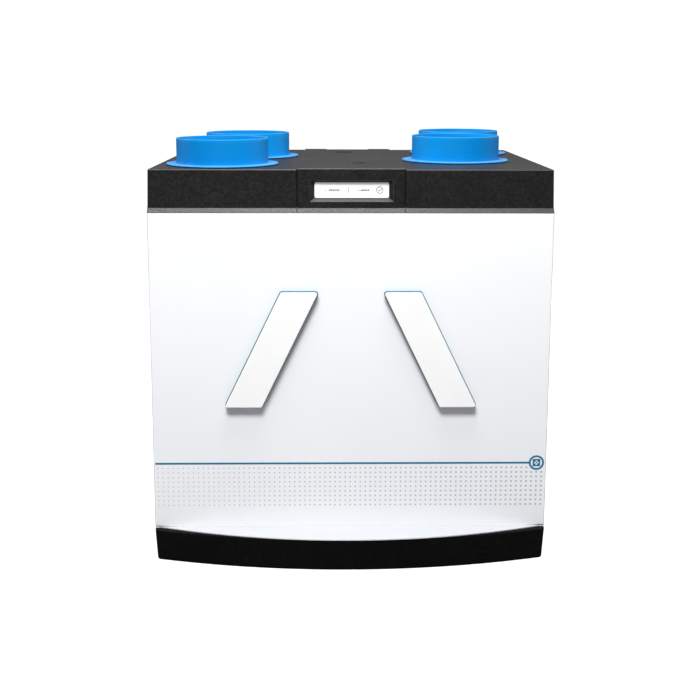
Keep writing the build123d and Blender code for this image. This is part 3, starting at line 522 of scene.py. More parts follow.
@dataclass(frozen=True)
class CoatedSteel(Finish):
    """Powder-coated sheet steel, with a fine orange peel, and painted shade on its folded edges, on its slopes
    that look up and on its bends towards the sides.

    Attributes:
        edge: Colour of the painted shade on the folded edges and on the slopes that look up.
        rough: Mean roughness.
        painted_slope_shade: Share of the painted shade on slopes that look up.
        painted_flank_shade: How much painted shade greys the bends towards the sides, from 0 to 1.
    """

    edge: Colour = (0.40, 0.41, 0.43)
    rough: float = 0.38
    painted_slope_shade: float = 0.80
    painted_flank_shade: float = 0.0

    def lay(self, wires: Wiring) -> Feeds:
        """Lays the coat's tone, painted shade on its slopes that look up, on its bends towards the sides and on
        its edges, and its orange peel.

        Args:
            wires: The material's wiring.

        Returns:
            What feeds the shader.
        """
        peel, _ = wires.grain(per_metre=520.0, fineness=0.3)
        edge, rounded = wires.edges(radius=0.0024, breakup=0.05)
        sideways, _, up = wires.facing()
        aside = wires.math("ABSOLUTE", sideways, 0.0)
        # The bend mask finds the bends towards the sides, where shade is painted.
        bend = wires.times(wires.ramp(aside, 0.1, 0.4), wires.ramp(aside, 0.9, 0.99, 1.0, 0.0))
        red, green, blue = self.colour
        tone = wires.coats(
            self.colour,
            (wires.drift(3.0), 1.0, (red * 0.965, green * 0.975, blue * 0.99)),
            # Painted shade: slopes that look up are greyed.
            (wires.ramp(up, -0.05, 0.45), self.painted_slope_shade, self.edge),
            # Painted shade on the bends towards the sides.
            (bend, self.painted_flank_shade, (0.24, 0.245, 0.26)),
            # Painted shade on the edges.
            (edge, 0.9, self.edge),
        )
        return {
            "Base Color": tone,
            "Roughness": wires.ramp(peel, 0.2, 0.9, self.rough - 0.06, self.rough + 0.08),
            "Normal": wires.bump(peel, depth=0.00006, strength=0.35, under=rounded),
            "Specular IOR Level": 0.45,
        }


@dataclass(frozen=True)
class MouldedPlastic(Finish):
    """Injection-moulded plastic with a spark-eroded grain.

    Attributes:
        rough: Mean roughness.
        grains: Grains per metre.
        depth: Depth of the grain in metres.
        painted_edge_highlight: How much of the painted edge highlight shows, from 0 to 1.
        shine: The shader's specular level.
        edge_radius: Width of the painted edge highlights.
        pale: How far the painted edge highlights go towards white, from 0 to 1.
        dust: Share of the settled specks and painted sheen on level faces.
        glow: Strength of a painted glow: light that the part gives off though it is no lamp.
        cloud: Share of the slow change of tone.
    """

    rough: float = 0.4
    grains: float = 1100.0
    depth: float = 0.00004
    painted_edge_highlight: float = 0.3
    shine: float = 0.5
    edge_radius: float = 0.0009
    pale: float = 0.35
    dust: float = 0.0
    glow: float = 0.0
    cloud: float = 0.55

    def lay(self, wires: Wiring) -> Feeds:
        """Lays the plastic's tone, a painted highlight on its edges, settled specks with a painted sheen, a
        painted glow where one is set, and its grain.

        Args:
            wires: The material's wiring.

        Returns:
            What feeds the shader.
        """
        height, fleck = wires.grain(per_metre=self.grains, fineness=0.45)
        edge, rounded = wires.edges(radius=self.edge_radius, breakup=0.25)
        deeper = shade(self.colour, 0.86)
        tone = wires.coats(
            self.colour,
            (wires.drift(14.0), self.cloud, deeper),
            (fleck, 0.12, deeper),
            # Painted highlight on the edges.
            (edge, self.painted_edge_highlight, tint(self.colour, self.pale)),
            # Settled specks and a painted sheen on faces that look up.
            (wires.dust(self.dust), 1.0, (0.55, 0.62, 0.66)),
        )
        return {
            "Base Color": tone,
            "Roughness": wires.ramp(height, 0.2, 0.9, self.rough - 0.07, self.rough + 0.1),
            "Normal": wires.bump(height, self.depth, strength=0.4, under=rounded),
            "Specular IOR Level": self.shine,
            # A painted glow, where one is set.
            "Emission Color": OPAQUE_WHITE,
            "Emission Strength": self.glow,
        }


@dataclass(frozen=True)
class ZincFinish(Finish):
    """Bare metal, either hot-dip galvanised with its crystals or turned and drawn.

    Attributes:
        crystals: Zinc crystals per metre.
        contrast: How much the crystals differ in tone.
        rough: Mean roughness.
    """

    crystals: float = 55.0
    contrast: float = 0.35
    rough: float = 0.38

    def lay(self, wires: Wiring) -> Feeds:
        """Lays the crystals, each with a tone and gloss of its own, and fine rolling marks.

        Args:
            wires: The material's wiring.

        Returns:
            What feeds the shader.
        """
        own = wires.cell_tone(wires.wavy(wires.place(), scale=60.0, detail=2.0, reach=0.008), self.crystals)
        edge, rounded = wires.edges(radius=0.0007, breakup=0.3)
        marks, _ = wires.grain(per_metre=700.0, fineness=0.6)
        darker, brighter = shade(self.colour, 1.0 - self.contrast), shade(self.colour, 1.25)
        return {
            "Base Color": wires.coats(self.colour, (own, 1.0, darker), (edge, 0.6, brighter)),
            "Roughness": wires.ramp(own, 0.0, 1.0, self.rough - 0.1, self.rough + 0.12),
            "Normal": wires.bump(marks, depth=0.00005, strength=0.4, under=rounded),
            "Metallic": 1.0,
        }


@dataclass(frozen=True)
class RubberFinish(Finish):
    """Dull black rubber with a powdery bloom on its edges."""

    def lay(self, wires: Wiring) -> Feeds:
        """Lays the rubber's tone, its bloom and a fine pitted skin.

        Args:
            wires: The material's wiring.

        Returns:
            What feeds the shader.
        """
        pits, fleck = wires.grain(per_metre=1600.0, fineness=0.7)
        bloom, rounded = wires.edges(radius=0.0008, breakup=0.6)
        coats = (bloom, 0.35, (0.16, 0.16, 0.165)), (fleck, 0.4, (0.04, 0.04, 0.042))
        return {
            "Base Color": wires.coats(self.colour, *coats),
            "Roughness": wires.ramp(pits, 0.2, 0.9, 0.55, 0.8),
            "Normal": wires.bump(pits, depth=0.00008, strength=0.5, under=rounded),
            "Specular IOR Level": 0.3,
        }


@dataclass(frozen=True)
class FleeceFinish(Finish):
    """Non-woven filter fleece: crossed fibres, with a little grey dirt caught in them."""

    def lay(self, wires: Wiring) -> Feeds:
        """Lays two crossed layers of stretched noise as fibres, and the caught dirt.

        Args:
            wires: The material's wiring.

        Returns:
            What feeds the shader.
        """
        place = wires.place()
        layers = []
        for turn, stretch in (((0.3, 0.5, 0.4), (9.0, 1.0, 1.0)), ((1.1, -0.6, 1.3), (1.0, 1.0, 9.0))):
            laid = wires.node("Mapping", {"Vector": place, "Rotation": turn, "Scale": stretch}).outputs[0]
            layers.append(wires.times(wires.noise(laid, 380.0, 3.0, 0.6), 0.5))
        web = wires.math("ADD", *layers)
        caught = wires.ramp(wires.noise(place, 45.0, 4.0, 0.6), 0.4, 0.75)
        coats = (wires.ramp(web, 0.35, 0.65), 1.0, self.colour), (caught, 0.25, (0.42, 0.41, 0.38))
        return {
            "Base Color": wires.coats(shade(self.colour, 0.72), *coats),
            "Roughness": wires.ramp(web, 0.3, 0.7, 0.95, 0.8),
            "Normal": wires.bump(web, depth=0.0004, strength=0.6),
            "Specular IOR Level": 0.2,
            "Sheen Weight": 0.2,
            "Sheen Roughness": 0.5,
        }


@dataclass(frozen=True)
class ExchangerFinish(Finish):
    """Thin translucent plates, packed close, with their corrugations showing on the ends."""

    def lay(self, wires: Wiring) -> Feeds:
        """Lays the plates as level bands, broken by the corrugations that cross them, with painted shade
        darkening the gaps between the plates.

        Args:
            wires: The material's wiring.

        Returns:
            What feeds the shader.
        """
        place = wires.place()
        plates = wires.node("TexWave", {"Vector": place, "Scale": 95.0, "Distortion": 0.4}, bands_direction="Z")
        ribs = wires.node("TexWave", {"Vector": place, "Scale": 60.0, "Distortion": 0.6}, bands_direction="Y")
        cut = wires.times(plates.outputs["Fac"], wires.ramp(ribs.outputs["Fac"], 0.0, 0.6, 0.65, 1.0))
        _, rounded = wires.edges(radius=0.001, breakup=0.2)
        return {
            # Painted shade: the gaps between the plates are darker.
            "Base Color": wires.blend(cut, shade(self.colour, 0.6), self.colour),
            "Roughness": wires.ramp(cut, 0.0, 1.0, 0.5, 0.28),
            "Normal": wires.bump(cut, depth=0.0005, strength=0.5, under=rounded),
            "Transmission Weight": 0.15,
        }


@dataclass(frozen=True)
class BoardFinish(Finish):
    """Circuit board: green mask over paler tracks, with small tinned pads."""

    def lay(self, wires: Wiring) -> Feeds:
        """Lays the tracks as a blocky cell pattern and the pads as small dots.

        Args:
            wires: The material's wiring.

        Returns:
            What feeds the shader.
        """
        place = wires.place()
        blocks = wires.node("TexVoronoi", {"Vector": place, "Scale": 210.0}, feature="F1", distance="MANHATTAN")
        dots = wires.node("TexVoronoi", {"Vector": place, "Scale": 340.0}, feature="F1")
        tracks = wires.ramp(blocks.outputs["Distance"], 0.45, 0.6)
        pads = wires.ramp(dots.outputs["Distance"], 0.12, 0.2, 1.0, 0.0)
        coats = (tracks, 1.0, shade(self.colour, 2.1)), (pads, 1.0, (0.62, 0.62, 0.60))
        return {
            "Base Color": wires.coats(self.colour, *coats),
            "Roughness": wires.ramp(pads, 0.0, 1.0, 0.45, 0.25),
            "Normal": wires.bump(wires.math("MAXIMUM", tracks, pads), depth=0.00008, strength=0.6),
            "Metallic": pads,
        }


@dataclass(frozen=True)
class InkFinish(Finish):
    """Screen-printed ink, very slightly uneven where the mesh has laid it thinner."""

    def lay(self, wires: Wiring) -> Feeds:
        """Lays the ink's tone and its thin patches.

        Args:
            wires: The material's wiring.

        Returns:
            What feeds the shader.
        """
        height, fleck = wires.grain(per_metre=1500.0, fineness=0.5)
        return {
            "Base Color": wires.coats(self.colour, (fleck, 0.5, tint(self.colour, 0.12))),
            "Roughness": wires.ramp(height, 0.2, 0.9, 0.38, 0.52),
            "Normal": wires.bump(height, depth=0.00002, strength=0.3),
            "Specular IOR Level": 0.4,
        }


@dataclass(frozen=True)
class FloorFinish(Finish):
    """The studio floor: pale grey to the pieces, and nearly white to the camera.

    Attributes:
        glow: Strength of the glow that the camera sees.
    """

    glow: float = 0.985

    def lay(self, wires: Wiring) -> Feeds:
        """Lays the glow that only the camera sees.

        Args:
            wires: The material's wiring.

        Returns:
            What feeds the shader.
        """
        return {
            "Base Color": (*self.colour, 1.0),
            "Roughness": 0.9,
            "Specular IOR Level": 0.1,
            "Emission Color": OPAQUE_WHITE,
            "Emission Strength": wires.for_camera(0.0, self.glow),
        }


# ---------------------------------------------------------------- surfaces


@dataclass
class Surface:
    """One closed mesh gathered from grids of points and outlines.

    Attributes:
        name: The piece's name.
        points: Blocks of points, each an array with three columns.
        faces: Faces as lists of point numbers.
        count: How many points there are so far.
    """

    name: str
    points: list[np.ndarray] = field(default_factory=list)
    faces: list[tuple[int, ...]] = field(default_factory=list)
    count: int = 0

    def block(self, points: np.ndarray) -> int:
        """Adds points and returns the number of the first one."""
        first = self.count
        flat = np.asarray(points, dtype=float).reshape(-1, 3)
        self.points.append(flat)
        self.count += len(flat)
        return first

    def join(self, *faces: np.ndarray) -> None:
        """Adds blocks of faces, each a row of point numbers."""
        for block in faces:
            self.faces.extend(map(tuple, block.tolist()))

    def grid(self, points: np.ndarray, wrap_rows: bool, wrap_columns: bool) -> Surface:
        """Adds a grid of points with a quad between each four neighbours.

        The face on row r and column c joins (r, c), (r, c+1), (r+1, c+1) and (r+1, c), and the last row or
        column joins the first one where the grid wraps.

        Args:
            points: An array of rows, columns and the three coordinates.
            wrap_rows: Whether the last row joins the first.
            wrap_columns: Whether the last column joins the first.

        Returns:
            The surface itself.
        """
        rows, columns = points.shape[:2]
        first = self.block(points)
        row = np.arange(rows if wrap_rows else rows - 1)[:, None]
        column = np.arange(columns if wrap_columns else columns - 1)[None, :]
        below, beside = (row + 1) % rows, (column + 1) % columns
        pairs = (row, column), (row, beside), (below, beside), (below, column)
        corners = [along * columns + across for along, across in pairs]
        self.join(np.stack(np.broadcast_arrays(*corners), axis=-1).reshape(-1, 4) + first)
        return self

    def slabs(self, outlines: np.ndarray, front: float, thickness: float) -> Surface:
        """Adds upright printed shapes that face -Y.

        Each outline is drawn once at the front plane and once behind it, with a face on each and a quad along
        each side.

        Args:
            outlines: Shapes, corners and (x, z), each anticlockwise as seen from the front.
            front: The y of the front plane.
            thickness: How far the shapes reach back.

        Returns:
            The surface itself.
        """
        shapes, corners = outlines.shape[:2]
        ahead = np.stack([outlines[..., 0], np.full((shapes, corners), front), outlines[..., 1]], axis=-1)
        behind = ahead + np.array([0.0, thickness, 0.0])
        first = self.block(np.stack([ahead, behind], axis=1))
        start = first + np.arange(shapes)[:, None] * 2 * corners
        front_face = start + np.arange(corners)[None, :]
        back_face = start + corners + np.arange(corners)[None, ::-1]
        step, after = np.arange(corners), np.roll(np.arange(corners), -1)
        ring = np.stack([step, step + corners, after + corners, after], axis=-1)
        sides = (start[:, :, None] + ring[None]).reshape(-1, 4)
        self.join(front_face, back_face, sides)
        return self

    def finish(self, finish: Finish, body: Body, slot: Slot, smooth: bool = True) -> bpy.types.Object:
        """Makes the mesh, dresses it and puts it on its body.

        Args:
            finish: The finish it wears.
            body: The body it rides on.
            slot: The material slot it belongs to; not used.
            smooth: Whether its faces are shaded as one smooth surface.

        Returns:
            The new object.
        """
        mesh = bpy.data.meshes.new(self.name)
        mesh.from_pydata(np.concatenate(self.points).tolist(), [], self.faces)
        mesh.polygons.foreach_set("use_smooth", np.full(len(mesh.polygons), smooth))
        mesh.materials.append(finish.material())
        mesh.update()
        made = bpy.data.objects.new(self.name, mesh)
        bpy.context.scene.collection.objects.link(made)
        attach(made, body.value)
        LOG.info("%s: %d faces on %s", self.name, len(mesh.polygons), body.value)
        return made


def disc_outlines(centres: np.ndarray, radii: np.ndarray, corners: int) -> np.ndarray:
    """Draws round outlines.

    The corner k of a disc stands at its centre plus its radius times (cos, sin) of k turns over the count.

    Args:
        centres: Shapes and (x, z).
        radii: One radius for each shape.
        corners: Corners of each outline.

    Returns:
        Shapes, corners and (x, z), anticlockwise as seen from the front.
    """
    turn = np.arange(corners) * 2.0 * np.pi / corners
    circle = np.stack([np.cos(turn), np.sin(turn)], axis=-1)
    return centres[:, None, :] + radii[:, None, None] * circle[None]


def bar_outlines(centres: np.ndarray, width: np.ndarray | float, height: float, corner: float) -> np.ndarray:
    """Draws level bars with rounded ends.

    Each corner is four points of a quarter circle about a centre that lies one corner radius inside both
    sides.

    Args:
        centres: Shapes and (x, z).
        width: Width of the bars, one for all or one each.
        height: Height of the bars.
        corner: Radius of their corners.

    Returns:
        Shapes, sixteen corners and (x, z), anticlockwise as seen from the front.
    """
    quarter = np.linspace(0.0, QUARTER, 4)
    turn = np.concatenate([quarter + k * QUARTER for k in range(4)])
    side_x = np.repeat([1.0, -1.0, -1.0, 1.0], 4)
    side_z = np.repeat([1.0, 1.0, -1.0, -1.0], 4)
    widths = np.broadcast_to(np.asarray(width, dtype=float), (len(centres),))
    across = side_x[None] * (widths[:, None] / 2.0 - corner) + corner * np.cos(turn)[None]
    along = np.broadcast_to(side_z * (height / 2.0 - corner) + corner * np.sin(turn), across.shape)
    return centres[:, None, :] + np.stack([across, along], axis=-1)


def band(outer: float, line: float, near: float, far: float) -> np.ndarray:
    """Returns the four corners, as (radius, height), of a flat ring's section."""
    return np.array([[outer, near], [outer, far], [outer - line, far], [outer - line, near]])


def revolve(section: np.ndarray, centre: Pair, steps: int) -> np.ndarray:
    """Carries a closed section once round an upright axis.

    At turn a, the section's point (r, h) stands at (x + r cos a, y + r sin a, h).

    Args:
        section: Points as (radius, height).
        centre: The axis as (x, y).
        steps: Number of steps round it.

    Returns:
        Steps, section points and coordinates, wrapping both ways.
    """
    turn = np.linspace(0.0, 2.0 * np.pi, steps, endpoint=False)[:, None]
    radius, height = section[None, :, 0], np.broadcast_to(section[:, 1], (steps, len(section)))
    return np.stack([centre[0] + radius * np.cos(turn), centre[1] + radius * np.sin(turn), height], axis=-1)


def printed_ring(name: str, centre: Pair, outer: float, line: float, front: float, thickness: float) -> Surface:
    """Draws a flat ring that faces -Y, as a revolved band with its axis laid level.

    Args:
        name: The piece's name.
        centre: The ring's (x, z).
        outer: Its outer radius.
        line: The width of its line.
        front: The y of its front face.
        thickness: How far it reaches back.

    Returns:
        The ring's surface.
    """
    points = revolve(band(outer, line, front, front + thickness), centre, steps=96)
    return Surface(name).grid(points[..., [0, 2, 1]], wrap_rows=True, wrap_columns=True)


# ---------------------------------------------------------------- finishes of this unit

# All three foams paint shade in their bead grooves and highlights on their edges; the top foam also paints its
# ledge paler and gives its settled specks a strong painted sheen.
BLACK_FOAM_TOP = FoamFinish(
    "black bead foam, top", (0.0064, 0.0059, 0.0057), edge=(0.17, 0.17, 0.172), ledge=(0.044, 0.044, 0.0455),
    ledge_low=0.684, ledge_high=0.6925, ledge_front=-0.2520,
    bead=0.0044, shine=0.26, rough=0.38, contrast=3.2, edge_radius=0.0020, dust=0.17,
)
BLACK_FOAM_BASE = FoamFinish(
    "black bead foam, base", (0.0034, 0.0034, 0.0035), edge=(0.016, 0.016, 0.017), shine=0.04, dust=0.02
)
GREY_FOAM = FoamFinish("grey bead foam, inside", (0.055, 0.055, 0.058), edge=(0.16, 0.16, 0.165), shine=0.25)
# Both white coats paint shade on their edges and up-facing slopes; the front's bends towards the sides are
# shaded too.
WHITE_COAT = CoatedSteel("white powder coat", (0.86, 0.868, 0.885))
WHITE_FRONT = CoatedSteel("white powder coat, front", (0.86, 0.868, 0.885), painted_flank_shade=0.85)
ZINC = ZincFinish("galvanised sheet", (0.56, 0.57, 0.58))
SCREW_METAL = ZincFinish("zinc-plated screws", (0.62, 0.61, 0.58), crystals=900.0, contrast=0.15, rough=0.3)
MOTOR_METAL = ZincFinish("cast motor housing", (0.42, 0.42, 0.43), crystals=1200.0, contrast=0.2, rough=0.45)
# Painted light on the collars: a pale highlight along their edges, and a pale sheen with the specks on the
# flanges and rims that look up.
COLLAR_BLUE = MouldedPlastic(
    "blue collar plastic", (0.0, 0.186, 0.495), rough=0.5, painted_edge_highlight=0.9, shine=0.12, edge_radius=0.0018,
    pale=0.30, dust=0.42,
)
RIM_BLUE = MouldedPlastic("blue handle body", (0.0, 0.105, 0.165), rough=0.4, painted_edge_highlight=0.0, shine=0.3)
HANDLE_WHITE = MouldedPlastic(
    "white handle plate", (0.90, 0.90, 0.902), rough=0.28, grains=1500.0, painted_edge_highlight=0.0, cloud=0.12
)
# The display window's glow is painted light that lifts it out of the shade of its recess.
DISPLAY_WHITE = MouldedPlastic(
    "white display window", (0.94, 0.945, 0.95), rough=0.2, grains=2200.0, depth=0.00001, painted_edge_highlight=0.0,
    glow=0.17,
)
RUBBER = RubberFinish("black rubber", (0.018, 0.018, 0.019))
CASSETTE = MouldedPlastic("filter cassette", (0.62, 0.63, 0.64), rough=0.5)
FLEECE = FleeceFinish("filter fleece", (0.78, 0.78, 0.76))
EXCHANGER = ExchangerFinish("exchanger plates", (0.62, 0.68, 0.70))
FAN_NYLON = MouldedPlastic("fan nylon", (0.035, 0.036, 0.038), rough=0.45, grains=800.0)
PAN_PLASTIC = MouldedPlastic("grey pan plastic", (0.20, 0.205, 0.21), rough=0.5)
BOARD = BoardFinish("green circuit board", (0.012, 0.11, 0.045))
COMPONENTS = MouldedPlastic("dark components", (0.03, 0.03, 0.034), rough=0.42, grains=1800.0)
LINE_BLUE = InkFinish("blue printed line", srgb(0, 108, 142))
DOT_GREY = InkFinish("grey printed dots", srgb(178, 184, 190))
MARK_GREY = InkFinish("grey display marks", srgb(80, 84, 90))
MARK_DARK = InkFinish("dark display marks", srgb(54, 58, 64))
PALE_FLOOR = FloorFinish("pale studio floor", (0.24, 0.24, 0.243))

FINISH_OF_SLOT: dict[Slot, Finish] = {
    Slot.FOAM_BLACK: BLACK_FOAM_TOP,
    Slot.FOAM_INNER: GREY_FOAM,
    Slot.PANEL_WHITE: WHITE_COAT,
    Slot.GALVANISED: ZINC,
    Slot.SCREW_STEEL: SCREW_METAL,
    Slot.COLLAR_BLUE: COLLAR_BLUE,
    Slot.RUBBER_BLACK: RUBBER,
    Slot.HANDLE_WHITE: HANDLE_WHITE,
    Slot.RIM_BLUE: RIM_BLUE,
    Slot.DISPLAY_WHITE: DISPLAY_WHITE,
    Slot.CASSETTE: CASSETTE,
    Slot.FLEECE: FLEECE,
    Slot.EXCHANGER: EXCHANGER,
    Slot.FAN: FAN_NYLON,
    Slot.MOTOR: MOTOR_METAL,
    Slot.PAN: PAN_PLASTIC,
    Slot.BOARD: BOARD,
    Slot.COMPONENT: COMPONENTS,
}


# ---------------------------------------------------------------- the unit


@dataclass
class Casing:
    """The CAD pieces, which keep their shapes and only change their finish.

    Attributes:
        own_finish: Finishes of single nodes that differ from their slot's.
    """

    own_finish: dict[str, Finish] = field(
        default_factory=lambda: {"base_tray": BLACK_FOAM_BASE, "front_panel": WHITE_FRONT}
    )

    def dress(self) -> None:
        """Gives each CAD node its finish."""
        slots = {part["node"]: Slot(part["material_slot"]) for part in frame["record"]["subparts"]}
        for name, node in frame["nodes"].items():
            finish = self.own_finish.get(name, FINISH_OF_SLOT[slots[name]])
            for place in node.material_slots:
                place.material = finish.material()
            LOG.info("%s wears %s", name, finish.name)


@dataclass
class DuctCollar:
    """A round collar with its flange, moulded in one piece.

    Attributes:
        node: The CAD collar that it stands for.
        wall: Thickness of the sleeve.
        overhang: How far the flange stands out from the sleeve.
        rise: Height of the flange's top over its foot.
        flange_foot: Height of the flange's foot over the floor.
        round_rim: Rounding of the open rim.
        round_flange: Rounding of the flange's outer edge.
        root: Rounding between sleeve and flange.
        steps: Number of steps round the collar.
    """

    node: str
    wall: float = 0.003
    overhang: float = 0.020
    rise: float = 0.0022
    flange_foot: float = 0.767
    round_rim: float = 0.0011
    round_flange: float = 0.0009
    root: float = 0.0012
    steps: int = 224

    def profile(self, low: float, high: float, flange: float, sleeve: float) -> np.ndarray:
        """Draws the closed section from the axis outwards.

        Rounded corners are quarter circles of five points each, and the long straights are cut into short
        runs.

        Args:
            low: Height of the sleeve's foot.
            high: Height of the rim.
            flange: The flange's outer radius.
            sleeve: The sleeve's outer radius.

        Returns:
            Points as (radius, height), anticlockwise.
        """
        top = self.flange_foot + self.rise
        bore = sleeve - self.wall
        lip, rim = self.round_flange, self.round_rim

        def corner(radius: float, height: float, size: float, start: float, sweep: float) -> np.ndarray:
            """Returns five points of a circle about (radius, height), from a start angle, in quarter turns."""
            turn = np.linspace(start, start + sweep, 5) * QUARTER
            return np.stack([radius + size * np.cos(turn), height + size * np.sin(turn)], axis=-1)

        def run(radius: float, first: float, last: float) -> np.ndarray:
            """Returns six points on an upright straight."""
            return np.stack([np.full(6, radius), np.linspace(first, last, 8)[1:-1]], axis=-1)

        parts = [
            np.array([[bore, low], [sleeve, low]]),
            run(sleeve, low, self.flange_foot),
            np.array([[sleeve, self.flange_foot], [sleeve + 0.5 * (flange - sleeve), self.flange_foot]]),
            corner(flange - lip, self.flange_foot + lip, lip, 3.0, 1.0),
            corner(flange - lip, top - lip, lip, 0.0, 1.0),
            corner(sleeve + self.root, top + self.root, self.root, 3.0, -1.0),
            run(sleeve, top + self.root, high - rim),
            corner(sleeve - rim, high - rim, rim, 0.0, 1.0),
            corner(bore + rim, high - rim, rim, 1.0, 1.0),
            run(bore, high - rim, low),
        ]
        return np.concatenate(parts)

    def build(self) -> None:
        """Carries the section once round the collar's axis and puts the piece in the CAD collar's place."""
        low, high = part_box(self.node)
        flange = (high.x - low.x) / 2.0
        section = self.profile(low.z, high.z, flange, flange - self.overhang)
        points = revolve(section, ((low.x + high.x) / 2.0, (low.y + high.y) / 2.0), self.steps)
        surface = Surface(self.node.replace("duct_collar", "collar"))
        surface.grid(points[::-1], wrap_rows=True, wrap_columns=True)
        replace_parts(surface.finish(COLLAR_BLUE, Body.CASING, Slot.COLLAR_BLUE), self.node)


@dataclass
class FilterMedium:
    """The pleated fleece in one filter cassette.

    Attributes:
        side: left or right.
        body: The body it rides on.
        pleats: Number of folds from bottom to top.
        reach: How far the folds stand out from the middle.
        half_sheet: Half the medium's level thickness.
        margin: Distance of the middle line from the frame's ends.
        softening: How much of a sine is mixed into the folds' triangle wave.
        wander: How far the folds wander along the depth.
        steps: Points along each fold.
        stations: Points along the depth.
    """

    side: str
    body: Body
    pleats: int = 20
    reach: float = 0.019
    half_sheet: float = 0.0016
    margin: float = 0.028
    softening: float = 0.12
    wander: float = 0.0005
    steps: int = 10
    stations: int = 24

    def build(self) -> None:
        """Folds the sheet.

        Its middle line is level distance = reach times a triangle wave with softened turns, added to the
        leaning line through the cassette; the two faces lie half a sheet to either side. Along the depth the
        folds wander by a sine.
        """
        low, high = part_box(f"filter_media_{self.side}")
        frame_low, frame_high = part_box(f"filter_frame_{self.side}")
        way = 1.0 if self.side == "right" else -1.0
        phase = np.linspace(0.0, self.pleats, self.pleats * self.steps + 1)
        share = phase / self.pleats
        triangle = 1.0 - 2.0 * np.abs(phase % 2.0 - 1.0)
        wave = np.sin(triangle * QUARTER) * self.softening + triangle * (1.0 - self.softening)
        inner_foot = max(abs(frame_low.x), abs(frame_high.x)) - self.margin
        inner_top = min(abs(frame_low.x), abs(frame_high.x)) + self.margin
        middle = inner_foot + (inner_top - inner_foot) * share
        height = low.z + (high.z - low.z) * share
        depth = np.linspace(low.y, high.y, self.stations)
        wander = self.wander * np.sin(depth[:, None] * 60.0 + phase[None] * 1.7)
        across = middle[None] + wave[None] * self.reach + wander
        lower, upper = across + self.half_sheet, across - self.half_sheet
        loop = np.concatenate([lower, upper[:, ::-1]], axis=1)
        levels = np.concatenate([height, height[::-1]])
        parts = way * loop, np.broadcast_to(depth[:, None], loop.shape), np.broadcast_to(levels, loop.shape)
        points = np.stack(parts, axis=-1)
        surface = Surface(f"pleated_fleece_{self.side}")
        surface.grid(points if way < 0 else points[::-1], wrap_rows=False, wrap_columns=True)
        self.close_ends(surface, *loop.shape)
        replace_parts(surface.finish(FLEECE, self.body, Slot.FLEECE), f"filter_media_{self.side}")

    @staticmethod
    def close_ends(surface: Surface, rows: int, columns: int) -> None:
        """Closes both ends of the folded band with quads between its two faces.

        Args:
            surface: The surface that holds the band, from its first point on.
            rows: Rows of the band's grid.
            columns: Columns of the band's grid.
        """
        step = np.arange(columns // 2 - 1)
        near = np.stack([step, columns - 1 - step, columns - 2 - step, step + 1], axis=-1)
        surface.join(near, near[:, ::-1] + (rows - 1) * columns)


